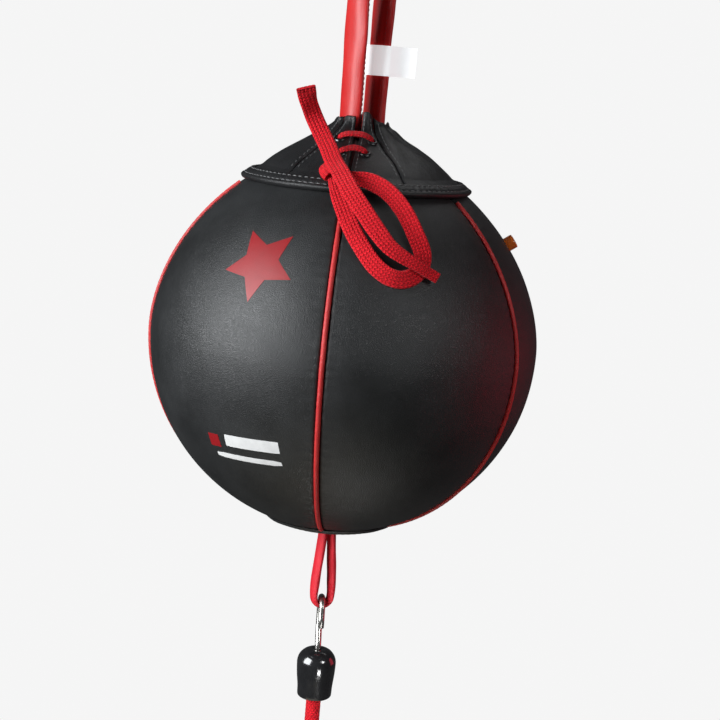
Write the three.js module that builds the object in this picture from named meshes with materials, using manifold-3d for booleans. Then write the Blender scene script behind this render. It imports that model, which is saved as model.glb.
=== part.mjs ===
// Double-end bag: an inflated leather ball that hangs from a strap loop, with an elastic cord hooked
// into a smaller loop below it.  Millimetres, +Z up.  The origin is the point where the hanging loop
// bears on whatever hook carries it, and the laced front of the ball faces -Y.
import * as THREE from 'three';
import { mergeGeometries, mergeVertices } from 'three/addons/utils/BufferGeometryUtils.js';
import Module from 'manifold-3d';

const wasm = await Module();
wasm.setup();

// ---- Driving dimensions: millimetres, and degrees for angles ----

const clearance = 0.3;             // between pieces that touch

// Ball.  Azimuths count from the front (-Y) towards +X.  An outline angle is 0 at the ball's widest
// level and 90 at its top.
const ballRadius = 102;
const upperFullness = 1.84;        // 2 is a true circle, less draws the upper half in towards the neck
const panelThickness = 2;
const panelBottomAngle = -74;
const panelTopAngle = 60;
const seamAzimuths = [-84, -5, 58, 130, 203];
const pipingRadius = 1.25;
const pipingStand = 0.2;           // how far the piping's middle lies below the panels' surface
const bladderThickness = 1.2;
const bladderGap = 1.3;

// Valve
const valveAzimuth = 86;
const valveAngle = 36;
const valveHeadRadius = 3.7;
const valveStemRadius = 2.6;
const valveStand = 4.4;
const valveDepth = 11;
const needleRadius = 0.8;

// Neck collar
const hemAngle = 54;
const collarThickness = 1.8;
const collarSpring = 14;           // how far the collar runs on before it turns up to the neck
const collarLift = 5;              // how far it stands off the ball at that point
const neckRadius = 12.5;
const neckRise = 14;               // neck's top edge above the ball's radius
const neckWall = 10;               // height of the neck's upright part
const hemHeight = 6.5;
const hemThickness = 1.2;
const slitAzimuth = -5;
const collarSeamAzimuths = [-41, 27, 173];
const slitGap = 1.4;
const tongueHalfAngle = 15;
const tongueThickness = 1.6;

// Eyelets and lace
const eyeletRows = [0.33, 0.56];   // shares of the way from the ball up to the neck's edge
const eyeletHalfSpacings = [6, 8];
const eyeletBarrelRadius = 1.9;
const eyeletBoreRadius = 1.2;
const eyeletFlangeRadius = 3;
const eyeletFlangeThickness = 0.6;
const eyeletLift = 0.5;
const laceWidth = 9;
const laceThickness = 1.6;
const laceRootWidth = 3;
const crossingWidth = 3.4;
const crossingThickness = 1.2;
const knotRadii = [3.4, 3, 3.4];
const knotAzimuth = -12.6;
const knotAngle = 56.6;
const knotLift = 8;

// Hanging loop
const loopLength = 84;             // bearing point to the neck's top edge
const loopAzimuth = 42;            // the loop's plane, turned from the X axis
const loopStrapWidth = 13;
const loopStrapThickness = 5;
const loopEyeRadius = 6.6;
const loopNeckHalf = 8.2;          // strands' middle lines from the loop's middle, at the neck
const swingRise = 3;               // the strap bends this far above the neck's edge
const bendGap = 0.4;               // each side of a bend
const anchorDepth = 14;
const anchorHalfWidth = 9.6;
const anchorSlope = 1.15;

// Label
const labelHeight = 16;
const labelReach = 20;
const labelThickness = 0.7;
const labelDrop = 46;

// Bottom patch and lower loop
const patchAngle = -70;
const patchThickness = 1.2;
const patchHoleRadius = 7.5;
const lowerAnchorRadius = 12;
const lowerAnchorThickness = 1.2;
const lowerSwingDrop = 4;
const lowerAzimuth = 20;
const lowerStrapWidth = 6.4;
const lowerStrapThickness = 2.8;
const lowerEyeRadius = 3.4;
const lowerNeckHalf = 2.8;
const lowerLoopLength = 40.5;        // bend line to the inside of the loop's foot

// Elastic cord and its two ends
const cordRadius = 4.1;
const cordFreeLength = 60;
const hookAzimuth = 5;             // the hooks' plane, turned from the YZ plane
const wireRadius = 1.75;
const hookBendRadius = 4.75;       // inside the bend
const hookSeatGap = 1;             // under the wire, where it rests in the lower loop's foot
const hookReach = 23.5;            // arch's centre to the cap
const hookTipDrop = 8;
const hookTipFlare = 1.2;
const hookHeadRadius = 3;
const capLength = 27;
const capRadius = 10.8;
const capWaistRadius = 9.6;
const capBoreRadius = 7.6;
const capRoof = 4.5;
const capHeadDepth = 11.5;         // crimp and cord end this far below the cap's top
const crimpLength = 13;

// ---- Places worked out from them ----

const ballCentreZ = -(loopLength + neckRise + ballRadius);
const neckTopZ = -loopLength;
const swingZ = neckTopZ + swingRise;
const patchBottomZ = ballCentreZ - ballRadius - clearance - patchThickness;
const lowerSwingZ = patchBottomZ - lowerSwingDrop;
const footInsideZ = lowerSwingZ - lowerLoopLength;
const hookArchRadius = hookBendRadius + wireRadius;
const hookArchZ = footInsideZ + hookSeatGap + wireRadius - hookArchRadius;
const capMouthZ = hookArchZ - hookReach - capLength;
const floorMouthZ = capMouthZ - cordFreeLength;

const radians = THREE.MathUtils.degToRad;

// ---- Materials ----

const finishes = {
  ballLeather: { color: 0x1b1c1e, roughness: 0.5, metalness: 0 },
  collarLeather: { color: 0x161617, roughness: 0.45, metalness: 0 },
  strapLeather: { color: 0xb81820, roughness: 0.4, metalness: 0 },
  piping: { color: 0xd42a2c, roughness: 0.45, metalness: 0 },
  lace: { color: 0xe41c2c, roughness: 0.85, metalness: 0 },
  label: { color: 0xeceef0, roughness: 0.8, metalness: 0 },
  rubber: { color: 0x2a2523, roughness: 0.6, metalness: 0 },
  valveRubber: { color: 0xe0601a, roughness: 0.35, metalness: 0 },
  blackMetal: { color: 0x26272a, roughness: 0.3, metalness: 0.8 },
  steel: { color: 0xc8ccd0, roughness: 0.18, metalness: 1 },
  capPlastic: { color: 0x0d0d0f, roughness: 0.22, metalness: 0 },
  elastic: { color: 0xd4141f, roughness: 0.85, metalness: 0 },
};

const bag = new THREE.Group();

function addPiece(group, name, geometry, finish) {
  const mesh = new THREE.Mesh(geometry, new THREE.MeshStandardMaterial(finishes[finish]));
  mesh.name = name;
  group.add(mesh);
  return mesh;
}

// ---- Geometry helpers ----

// Merges shared corners, drops triangles that closed up on an axis, and turns every face outward.
function closedSolid(geometry) {
  const bare = geometry.index ? geometry.toNonIndexed() : geometry.clone();
  bare.deleteAttribute('normal');
  bare.deleteAttribute('uv');
  const merged = mergeVertices(bare, 1e-3);
  const corners = merged.index.array;
  const places = merged.attributes.position;
  const a = new THREE.Vector3();
  const b = new THREE.Vector3();
  const c = new THREE.Vector3();
  let kept = [];
  let volume = 0;
  for (let i = 0; i < corners.length; i += 3) {
    const [p, q, r] = [corners[i], corners[i + 1], corners[i + 2]];
    if (p === q || q === r || r === p) continue;
    a.fromBufferAttribute(places, p);
    b.fromBufferAttribute(places, q);
    c.fromBufferAttribute(places, r);
    volume += a.dot(b.cross(c));
    kept.push(p, q, r);
  }
  if (volume < 0) kept = kept.reverse();
  merged.setIndex(kept);
  merged.computeVertexNormals();
  return merged;
}

function toManifold(geometry) {
  const solid = closedSolid(geometry);
  return new wasm.Manifold(new wasm.Mesh({
    numProp: 3,
    vertProperties: new Float32Array(solid.attributes.position.array),
    triVerts: new Uint32Array(solid.index.array),
  }));
}

function fromManifold(manifold) {
  const mesh = manifold.getMesh();
  const geometry = new THREE.BufferGeometry();
  geometry.setAttribute('position', new THREE.BufferAttribute(mesh.vertProperties, 3));
  geometry.setIndex(new THREE.BufferAttribute(mesh.triVerts, 1));
  geometry.computeVertexNormals();
  return geometry;
}

function cut(geometry, ...tools) {
  let result = toManifold(geometry);
  for (const tool of tools) result = result.subtract(toManifold(tool));
  return fromManifold(result);
}

function join(geometry, ...others) {
  let result = toManifold(geometry);
  for (const other of others) result = result.add(toManifold(other));
  return fromManifold(result);
}

// A (radius, height) profile that closes on itself or on the axis, turned right round Z.
function turned(profile, segments) {
  return closedSolid(new THREE.LatheGeometry(profile, segments).rotateX(Math.PI / 2));
}

function ring(profile, segments) {
  return turned([...profile, profile[0]], segments);
}

// A closed profile turned part of the way round.  The sides are drawn back by the same distance at
// every height, so that the gap along a seam keeps one width.
function turnedWedge(profile, startAzimuth, endAzimuth, segments, sideGap) {
  const start = radians(startAzimuth);
  const sweep = radians(endAzimuth - startAzimuth);
  const skin = new THREE.LatheGeometry([...profile, profile[0]], segments, start, sweep);
  const faces = THREE.ShapeUtils.triangulateShape(profile, []);
  const profileTurn = Math.sign(THREE.ShapeUtils.area(profile));
  const end = (azimuth, turn) => {
    const points = [];
    for (const face of faces) {
      const corners = face.map((index) => profile[index]);
      const faceTurn = Math.sign(THREE.ShapeUtils.area(corners));
      if (faceTurn * profileTurn * turn < 0) corners.reverse();
      for (const corner of corners) {
        points.push(corner.x * Math.sin(azimuth), corner.y, corner.x * Math.cos(azimuth));
      }
    }
    const geometry = new THREE.BufferGeometry();
    geometry.setAttribute('position', new THREE.Float32BufferAttribute(points, 3));
    return geometry;
  };
  const bareSkin = skin.toNonIndexed();
  bareSkin.deleteAttribute('normal');
  bareSkin.deleteAttribute('uv');
  const whole = mergeGeometries([bareSkin, end(start, 1), end(start + sweep, -1)]);
  const places = whole.attributes.position;
  for (let i = 0; i < places.count; i += 1) {
    const radius = Math.hypot(places.getX(i), places.getZ(i));
    let azimuth = Math.atan2(places.getX(i), places.getZ(i));
    while (azimuth < start - 0.01) azimuth += 2 * Math.PI;
    const share = (azimuth - start) / sweep * 2 - 1;
    const moved = azimuth - share * sideGap / radius;
    places.setX(i, radius * Math.sin(moved));
    places.setZ(i, radius * Math.cos(moved));
  }
  return closedSolid(whole.rotateX(Math.PI / 2));
}

function roundTube(points, radius, sides, steps) {
  const section = new THREE.Shape().absarc(0, 0, radius, 0, 2 * Math.PI);
  const path = new THREE.CatmullRomCurve3(points, false, 'centripetal');
  const options = { steps, curveSegments: sides / 2, extrudePath: path, bevelEnabled: false };
  return closedSolid(new THREE.ExtrudeGeometry(section, options));
}

// A rolled strap with a rounded section along a path in the XZ plane; its width lies along Y.
function rolledStrap(points, width, thickness, sides, steps) {
  const section = new THREE.Shape().absellipse(0, 0, width / 2, thickness / 2, 0, 2 * Math.PI);
  const path = new THREE.CatmullRomCurve3(points, false, 'centripetal');
  const options = { steps, curveSegments: sides / 2, extrudePath: path, bevelEnabled: false };
  return closedSolid(new THREE.ExtrudeGeometry(section, options));
}

// A flat lace along a curve.  Its flat side faces away from the ball's centre, and its width grows
// from rootWidth to the full width over the first part of the run, and back at the end if asked.
function flatLace(points, rootWidth, width, thickness, steps, narrowBothEnds) {
  const curve = new THREE.CatmullRomCurve3(points, false, 'centripetal');
  const box = new THREE.BoxGeometry(1, thickness, 1, 1, 1, steps);
  const places = box.attributes.position;
  const away = new THREE.Vector3();
  const centre = new THREE.Vector3(0, 0, ballCentreZ);
  for (let i = 0; i < places.count; i += 1) {
    const share = places.getZ(i) + 0.5;
    const middle = curve.getPointAt(share);
    const along = curve.getTangentAt(share);
    away.subVectors(middle, centre).normalize();
    const side = new THREE.Vector3().crossVectors(away, along).normalize();
    const face = new THREE.Vector3().crossVectors(along, side);
    const fromEnd = narrowBothEnds ? Math.min(share, 1 - share) : share;
    const grown = THREE.MathUtils.smoothstep(fromEnd, 0, 0.25);
    const here = THREE.MathUtils.lerp(rootWidth, width, grown);
    middle.addScaledVector(side, places.getX(i) * here);
    middle.addScaledVector(face, places.getY(i));
    places.setXYZ(i, middle.x, middle.y, middle.z);
  }
  return closedSolid(box);
}

// ---- The ball's outline and places on it ----

// Radius and height, from the ball's centre, of a point that stands off its outline.
function outline(angle, standOff = 0) {
  const turn = radians(angle);
  const fullness = angle > 0 ? upperFullness : 2;
  const reach = ballRadius + standOff;
  const radius = reach * Math.cos(turn) ** (2 / fullness);
  const height = reach * Math.sign(turn) * Math.abs(Math.sin(turn)) ** (2 / fullness);
  return new THREE.Vector2(radius, height);
}

function outlineRun(startAngle, endAngle, steps, standOff) {
  const points = [];
  for (let i = 0; i <= steps; i += 1) {
    points.push(outline(THREE.MathUtils.lerp(startAngle, endAngle, i / steps), standOff));
  }
  return points;
}

function turnedTo(azimuth, point) {
  const turn = radians(azimuth);
  return new THREE.Vector3(point.x * Math.sin(turn), -point.x * Math.cos(turn), point.y + ballCentreZ);
}

function onBall(azimuth, angle, standOff) {
  return turnedTo(azimuth, outline(angle, standOff));
}

// The collar's inner line leaves the ball's outline, stands off it and turns up into the neck.
const collarFoot = outline(panelTopAngle, clearance);
const collarAlong = new THREE.Vector2()
  .subVectors(outline(panelTopAngle + 1, clearance), collarFoot)
  .normalize();
const collarShoulder = collarFoot.clone().addScaledVector(collarAlong, collarSpring);
collarShoulder.y += collarLift;
const neckTop = new THREE.Vector2(neckRadius, ballRadius + neckRise);
const neckFoot = new THREE.Vector2(neckRadius, neckTop.y - neckWall);
const collarLine = new THREE.CubicBezierCurve(collarFoot, collarShoulder, neckFoot, neckTop);

function collarPoint(share, lift) {
  const along = collarLine.getTangent(share);
  const point = collarLine.getPoint(share);
  return new THREE.Vector2(point.x + along.y * lift, point.y - along.x * lift);
}

function onCollar(azimuth, share, lift) {
  return turnedTo(azimuth, collarPoint(share, collarThickness + lift));
}

function collarRun(startShare, endShare, steps, lift) {
  const points = [];
  for (let i = 0; i <= steps; i += 1) {
    points.push(collarPoint(THREE.MathUtils.lerp(startShare, endShare, i / steps), lift));
  }
  return points;
}

// ---- Ball ----

const ball = new THREE.Group();
ball.position.z = ballCentreZ;
bag.add(ball);

function cylinderAlong(direction, radius, start, end, sides) {
  const rod = new THREE.CylinderGeometry(radius, radius, end - start, sides);
  rod.translate(0, (start + end) / 2, 0);
  const turn = new THREE.Quaternion().setFromUnitVectors(new THREE.Vector3(0, 1, 0), direction);
  return rod.applyQuaternion(turn);
}

const valvePoint = onBall(valveAzimuth, valveAngle, 0).sub(new THREE.Vector3(0, 0, ballCentreZ));
const valveDirection = valvePoint.clone().normalize();

function addPanels() {
  const outer = outlineRun(panelBottomAngle, panelTopAngle, 14, 0);
  const inner = outlineRun(panelTopAngle, panelBottomAngle, 14, -panelThickness);
  const seamGap = pipingRadius + clearance;
  seamAzimuths.forEach((start, index) => {
    const next = seamAzimuths[(index + 1) % seamAzimuths.length];
    const end = next > start ? next : next + 360;
    const segments = Math.round((end - start) / 10);
    let panel = turnedWedge([...outer, ...inner], start, end, segments, seamGap);
    if (valveAzimuth > start && valveAzimuth < end) {
      const hole = cylinderAlong(valveDirection, valveHeadRadius + clearance,
        valvePoint.length() - 2 * panelThickness, valvePoint.length() + 2 * panelThickness, 16);
      panel = cut(panel, hole);
    }
    addPiece(ball, `panel_${index + 1}`, panel, 'ballLeather');
  });
}

function addPiping() {
  const hemClear = 2;
  const patchClear = 1.5;
  seamAzimuths.forEach((azimuth, index) => {
    const points = outlineRun(patchAngle + patchClear, hemAngle - hemClear, 12, -pipingStand)
      .map((point) => turnedTo(azimuth, point).sub(new THREE.Vector3(0, 0, ballCentreZ)));
    addPiece(ball, `piping_${index + 1}`, roundTube(points, pipingRadius, 6, 18), 'piping');
  });
}

function addBladder() {
  const outside = -panelThickness - bladderGap;
  const outer = turned(outlineRun(-90, 90, 12, outside), 18);
  const inner = turned(outlineRun(-90, 90, 12, outside - bladderThickness), 18);
  const bore = cylinderAlong(valveDirection, valveStemRadius + clearance,
    valvePoint.length() - valveDepth, valvePoint.length(), 14);
  addPiece(ball, 'bladder', cut(outer, inner, bore), 'rubber');
}

function addValve() {
  const headFoot = -panelThickness;
  const profile = [
    new THREE.Vector2(0, -valveDepth + clearance),
    new THREE.Vector2(valveStemRadius, -valveDepth + clearance),
    new THREE.Vector2(valveStemRadius, headFoot),
    new THREE.Vector2(valveHeadRadius, headFoot),
    new THREE.Vector2(valveHeadRadius, valveStand - 0.6),
    new THREE.Vector2(valveHeadRadius - 0.6, valveStand),
    new THREE.Vector2(needleRadius, valveStand),
    new THREE.Vector2(needleRadius, headFoot),
    new THREE.Vector2(0, headFoot),
  ];
  const valve = addPiece(ball, 'inflation_valve', turned(profile, 16), 'valveRubber');
  valve.position.copy(valvePoint);
  valve.quaternion.setFromUnitVectors(new THREE.Vector3(0, 0, 1), valveDirection);
}

// ---- Neck collar, eyelets and lace ----

function eyeletAzimuth(row, side) {
  const radius = collarLine.getPoint(eyeletRows[row]).x;
  return slitAzimuth + side * THREE.MathUtils.radToDeg(eyeletHalfSpacings[row] / radius);
}

function eyeletDirection(row, side) {
  const foot = onCollar(eyeletAzimuth(row, side), eyeletRows[row], 0);
  const tip = onCollar(eyeletAzimuth(row, side), eyeletRows[row], 1);
  return tip.sub(foot);
}

function eyeletHole(row, side) {
  const reach = 3 * collarThickness;
  const rod = cylinderAlong(eyeletDirection(row, side), eyeletBarrelRadius + clearance, -reach, reach, 14);
  const place = onCollar(eyeletAzimuth(row, side), eyeletRows[row], 0);
  return rod.translate(place.x, place.y, place.z - ballCentreZ);
}

function addCollar() {
  const inner = [
    ...outlineRun(hemAngle, panelTopAngle, 2, clearance),
    ...collarRun(0.1, 1, 7, 0),
  ];
  const outer = [
    ...collarRun(1, 0.1, 7, collarThickness),
    ...outlineRun(panelTopAngle, hemAngle, 2, clearance + collarThickness),
  ];
  const profile = [...inner, ...outer];
  const [leftSeam, rightSeam, backSeam] = collarSeamAzimuths;
  const leaves = [
    ['facing_left', leftSeam, slitAzimuth, -1],
    ['facing_right', slitAzimuth, rightSeam, 1],
    ['collar_right', rightSeam, backSeam, 0],
    ['collar_left', backSeam, leftSeam + 360, 0],
  ];
  for (const [name, start, end, side] of leaves) {
    const segments = Math.round((end - start) / 12);
    let leaf = turnedWedge(profile, start, end, segments, side ? slitGap / 2 : clearance / 2);
    if (side) leaf = cut(leaf, ...eyeletRows.map((_, row) => eyeletHole(row, side)));
    addPiece(ball, name, leaf, 'collarLeather');
  }
}

function addHem() {
  const foot = outline(hemAngle, 2 * clearance + collarThickness);
  const along = new THREE.Vector2().subVectors(outline(hemAngle + 1, 0), outline(hemAngle, 0)).normalize();
  const out = new THREE.Vector2(along.y, -along.x);
  const corner = (up, away) => foot.clone().addScaledVector(along, up).addScaledVector(out, away);
  const profile = [
    corner(-1, 0),
    corner(-1, hemThickness * 0.7),
    corner(hemHeight * 0.2, hemThickness),
    corner(hemHeight * 0.75, hemThickness),
    corner(hemHeight, hemThickness * 0.5),
    corner(hemHeight, 0.1),
    corner(hemHeight * 0.5, 0.05),
  ];
  addPiece(ball, 'collar_hem', ring(profile, 36), 'collarLeather');
}

function addTongue() {
  const profile = [
    ...collarRun(0.12, 0.62, 6, -clearance),
    ...collarRun(0.62, 0.12, 6, -clearance - tongueThickness),
  ];
  const start = slitAzimuth - tongueHalfAngle;
  const end = slitAzimuth + tongueHalfAngle;
  addPiece(ball, 'tongue', turnedWedge(profile, start, end, 5, 0), 'collarLeather');
}

function addEyelets() {
  const top = eyeletLift + eyeletFlangeThickness;
  const profile = [
    new THREE.Vector2(eyeletBoreRadius, -collarThickness),
    new THREE.Vector2(eyeletBarrelRadius, -collarThickness),
    new THREE.Vector2(eyeletBarrelRadius, eyeletLift),
    new THREE.Vector2(eyeletFlangeRadius, eyeletLift),
    new THREE.Vector2(eyeletFlangeRadius, top - 0.2),
    new THREE.Vector2(eyeletBoreRadius + 0.4, top),
    new THREE.Vector2(eyeletBoreRadius, top - 0.3),
  ];
  eyeletRows.forEach((share, row) => {
    for (const side of [-1, 1]) {
      const name = `eyelet_${row ? 'upper' : 'lower'}_${side < 0 ? 'left' : 'right'}`;
      const eyelet = addPiece(ball, name, ring(profile, 14), 'blackMetal');
      eyelet.position.copy(onCollar(eyeletAzimuth(row, side), share, 0));
      eyelet.position.z -= ballCentreZ;
      eyelet.quaternion.setFromUnitVectors(new THREE.Vector3(0, 0, 1), eyeletDirection(row, side));
    }
  });
}

function addLaceCrossings() {
  const lift = eyeletLift + eyeletFlangeThickness + clearance + crossingThickness / 2 + 0.3;
  eyeletRows.forEach((share, row) => {
    const left = eyeletAzimuth(row, -1);
    const right = eyeletAzimuth(row, 1);
    const points = [0, 0.25, 0.5, 0.75, 1]
      .map((along) => onCollar(THREE.MathUtils.lerp(left, right, along), share, lift));
    const lace = flatLace(points, crossingWidth, crossingWidth, crossingThickness, 10, false);
    addPiece(bag, row ? 'lace_crossing_upper' : 'lace_crossing_lower', lace, 'lace');
  });
}

// The free laces' routes: azimuth, outline angle and stand-off from the ball.
const shortTailRoute = [
  [-12.5, 58.8, 12], [-17.6, 62.5, 14], [-25.7, 65.8, 19], [-31.2, 66.9, 26], [-31.7, 66.2, 34],
  [-30.2, 65.2, 42],
];
const longTailRoute = [
  [-7.2, 54, 13], [-1.5, 47.6, 13.5], [3.4, 42.5, 12.5], [7.7, 37.9, 11], [11.7, 34.3, 9.5],
  [18.7, 31, 7.5], [26.6, 27.9, 4.5],
];
const bowRoute = [
  [-8, 50.7, 8], [-4.4, 45.9, 7], [-0.8, 40.8, 5], [3.4, 35.7, 3], [7.9, 30.7, 2.5], [12.4, 28, 2.5],
  [16.9, 27.7, 2.5], [21.3, 29.9, 2.7], [23.3, 34.1, 3.5], [21.2, 39.8, 6], [17.7, 45.7, 8.5],
  [12.4, 50.7, 9.5], [5.2, 53.9, 9], [-1.6, 54.8, 8.5],
];

function addLaces() {
  const run = (route) => route.map(([azimuth, angle, lift]) => onBall(azimuth, angle, lift));
  const thick = laceThickness;
  const shortTail = flatLace(run(shortTailRoute), laceRootWidth, laceWidth, thick, 20, false);
  const longTail = flatLace(run(longTailRoute), laceRootWidth, laceWidth, thick, 30, false);
  const bow = flatLace(run(bowRoute), laceRootWidth, laceWidth * 0.8, thick, 36, true);
  const knot = new THREE.SphereGeometry(1, 12, 8).scale(...knotRadii);
  addPiece(bag, 'lace_tail_short', shortTail, 'lace');
  addPiece(bag, 'lace_tail_long', longTail, 'lace');
  addPiece(bag, 'lace_bow', bow, 'lace');
  const knotMesh = addPiece(bag, 'lace_knot', closedSolid(knot), 'lace');
  knotMesh.position.copy(onBall(knotAzimuth, knotAngle, knotLift));
  knotMesh.rotation.z = radians(knotAzimuth);
}

// ---- Hanging loop ----

// How far two strands have spread from the neck's spacing to the arch's, at shares of their height.
const strandSpread = [[0, 0], [0.3, 0.35], [0.72, 0.9]];

// Points up one strand, over a half circle and down the other, for a strap that hangs folded in two.
function hairpin(neckHalf, neckZ, archRadius, archZ, upward) {
  const { lerp } = THREE.MathUtils;
  const side = strandSpread.map(([height, spread]) => [
    lerp(neckHalf, archRadius, spread), lerp(neckZ, archZ, height),
  ]);
  const arch = [];
  for (let turn = 0; turn <= 180; turn += 30) {
    const reach = radians(turn);
    arch.push([archRadius * Math.cos(reach), archZ + upward * archRadius * Math.sin(reach)]);
  }
  const back = side.map(([x, z]) => [-x, z]).reverse();
  return [...side, ...arch, ...back].map(([x, z]) => new THREE.Vector3(x, 0, z));
}

const hanger = new THREE.Group();
hanger.rotation.z = radians(loopAzimuth);
bag.add(hanger);

const loopArchRadius = loopEyeRadius + loopStrapThickness / 2;

function addHangingLoop() {
  const points = hairpin(loopNeckHalf, swingZ + bendGap, loopArchRadius, -loopEyeRadius, 1);
  const strap = rolledStrap(points, loopStrapWidth, loopStrapThickness, 10, 30);
  addPiece(hanger, 'top_loop', strap, 'strapLeather');
}

// The strap's lapped ends, as a wedge whose edge meets the strap's bend line.
function anchorBlock(topZ, bottomZ, halfWidth, slope, width) {
  const shoulder = topZ + Math.sign(bottomZ - topZ) * (halfWidth - 0.5) / slope;
  const shape = new THREE.Shape();
  shape.moveTo(-0.5, topZ);
  shape.lineTo(0.5, topZ);
  shape.lineTo(halfWidth, shoulder);
  shape.lineTo(halfWidth, bottomZ);
  shape.lineTo(-halfWidth, bottomZ);
  shape.lineTo(-halfWidth, shoulder);
  shape.closePath();
  const block = new THREE.ExtrudeGeometry(shape, { depth: width, bevelEnabled: false });
  return closedSolid(block.rotateX(Math.PI / 2).translate(0, width / 2, 0));
}

function addLoopAnchor() {
  const block = anchorBlock(swingZ - bendGap, swingZ - anchorDepth, anchorHalfWidth, anchorSlope,
    loopStrapWidth);
  addPiece(hanger, 'loop_anchor', block, 'strapLeather');
}

// A folded label's plan: half way round one strand of the loop, with two leaves that meet beyond it.
function labelPlan(halfWidth, halfThickness, reach, tipHalf) {
  const strapTurn = radians(loopAzimuth + 90);
  const shape = new THREE.Shape();
  shape.moveTo(reach, -tipHalf);
  shape.lineTo(reach, tipHalf);
  shape.absellipse(0, 0, halfWidth, halfThickness, 0, Math.PI, false, strapTurn);
  shape.closePath();
  return shape;
}

function addLabel() {
  const turn = radians(loopAzimuth);
  const slack = clearance + 1.2;
  const halfWidth = loopStrapWidth / 2 + slack;
  const halfThickness = loopStrapThickness / 2 + slack;
  const leaf = labelThickness;
  const plan = labelPlan(halfWidth + leaf, halfThickness + leaf, labelReach, leaf);
  plan.holes.push(labelPlan(halfWidth, halfThickness, labelReach * 0.72, 0.15));
  const band = new THREE.ExtrudeGeometry(plan, { depth: labelHeight, bevelEnabled: false, curveSegments: 8 });
  const label = addPiece(bag, 'label', closedSolid(band), 'label');
  const { lerp, inverseLerp, mapLinear } = THREE.MathUtils;
  const height = inverseLerp(swingZ + bendGap, -loopEyeRadius, -labelDrop - labelHeight / 2);
  const [, [lowHeight, lowSpread], [highHeight, highSpread]] = strandSpread;
  const spread = mapLinear(height, lowHeight, highHeight, lowSpread, highSpread);
  const strandReach = lerp(loopNeckHalf, loopArchRadius, spread);
  label.position.set(strandReach * Math.cos(turn), strandReach * Math.sin(turn), -labelDrop - labelHeight);
}

// ---- Bottom patch and lower loop ----

const lower = new THREE.Group();
lower.rotation.z = radians(lowerAzimuth);
bag.add(lower);

function addBottomPatch() {
  const holeAngle = -THREE.MathUtils.radToDeg(Math.acos(patchHoleRadius / ballRadius));
  const profile = [
    ...outlineRun(patchAngle, holeAngle, 4, clearance),
    ...outlineRun(holeAngle, patchAngle, 4, clearance + patchThickness),
  ];
  addPiece(ball, 'bottom_patch', ring(profile, 28), 'ballLeather');
}

function addLowerAnchor() {
  const plateTop = ballCentreZ - (ballRadius - panelThickness - bladderGap) - clearance;
  const plate = new THREE.CylinderGeometry(lowerAnchorRadius, lowerAnchorRadius, lowerAnchorThickness, 24);
  plate.rotateX(Math.PI / 2).translate(0, 0, plateTop - lowerAnchorThickness / 2);
  const tabHalf = lowerNeckHalf + lowerStrapThickness / 2;
  const tab = anchorBlock(lowerSwingZ + bendGap, plateTop - lowerAnchorThickness / 2, tabHalf, anchorSlope,
    lowerStrapWidth);
  addPiece(lower, 'lower_loop_anchor', join(plate, tab), 'strapLeather');
}

function addLowerLoop() {
  const archRadius = lowerEyeRadius + lowerStrapThickness / 2;
  const points = hairpin(lowerNeckHalf, lowerSwingZ - bendGap, archRadius, footInsideZ + lowerEyeRadius, -1);
  const strap = rolledStrap(points, lowerStrapWidth, lowerStrapThickness, 8, 28);
  addPiece(lower, 'lower_loop', strap, 'strapLeather');
}

// ---- Hook, cap and crimp at each end of the elastic cord ----

const cordGroup = new THREE.Group();
cordGroup.rotation.z = radians(hookAzimuth);
bag.add(cordGroup);

function capProfile() {
  const shankHole = wireRadius + clearance;
  const path = new THREE.Path();
  path.moveTo(shankHole, 0);
  path.bezierCurveTo(6, -0.2, capRadius, -2, capRadius, -8);
  path.bezierCurveTo(capRadius, -12, capWaistRadius, -16, capWaistRadius, -capLength + 2.2);
  path.quadraticCurveTo(capWaistRadius, -capLength, capWaistRadius - 1.2, -capLength);
  path.lineTo(capBoreRadius, -capLength);
  path.lineTo(capBoreRadius, -capRoof);
  path.lineTo(shankHole, -capRoof);
  return path.getPoints(3);
}

// One end of the cord, built with its cap's top at Z 0 and its hook above.  The hook's plane is YZ.
function addCordEnd(prefix, place, turn) {
  const end = new THREE.Group();
  end.position.z = place;
  end.rotation.x = turn;
  cordGroup.add(end);

  const headZ = -capRoof - clearance - hookHeadRadius;
  const path = [headZ, -capRoof, 0, 2].map((z) => new THREE.Vector3(0, 0, z));
  path.push(new THREE.Vector3(0, hookArchRadius * 0.72, hookReach * 0.55));
  for (let angle = 0; angle <= 180; angle += 30) {
    const reach = radians(angle);
    const y = hookArchRadius * Math.cos(reach);
    path.push(new THREE.Vector3(0, y, hookReach + hookArchRadius * Math.sin(reach)));
  }
  const tipY = -hookArchRadius - hookTipFlare;
  path.push(new THREE.Vector3(0, tipY, hookReach - hookTipDrop * 0.5));
  path.push(new THREE.Vector3(0, tipY, hookReach - hookTipDrop * 0.75));
  path.push(new THREE.Vector3(0, tipY, hookReach - hookTipDrop));
  const wire = roundTube(path, wireRadius, 8, 34);
  const head = new THREE.SphereGeometry(hookHeadRadius, 10, 6).translate(0, 0, headZ);
  addPiece(end, `${prefix}_hook`, join(wire, head), 'steel');

  addPiece(end, `${prefix}_end_cap`, ring(capProfile(), 24), 'capPlastic');

  const crimpTop = -capHeadDepth;
  const crimp = [
    new THREE.Vector2(cordRadius + clearance, crimpTop),
    new THREE.Vector2(capBoreRadius - clearance, crimpTop),
    new THREE.Vector2(capBoreRadius - clearance, crimpTop - crimpLength),
    new THREE.Vector2(cordRadius + clearance, crimpTop - crimpLength),
  ];
  addPiece(end, `${prefix}_crimp`, ring(crimp, 16), 'steel');
}

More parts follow.
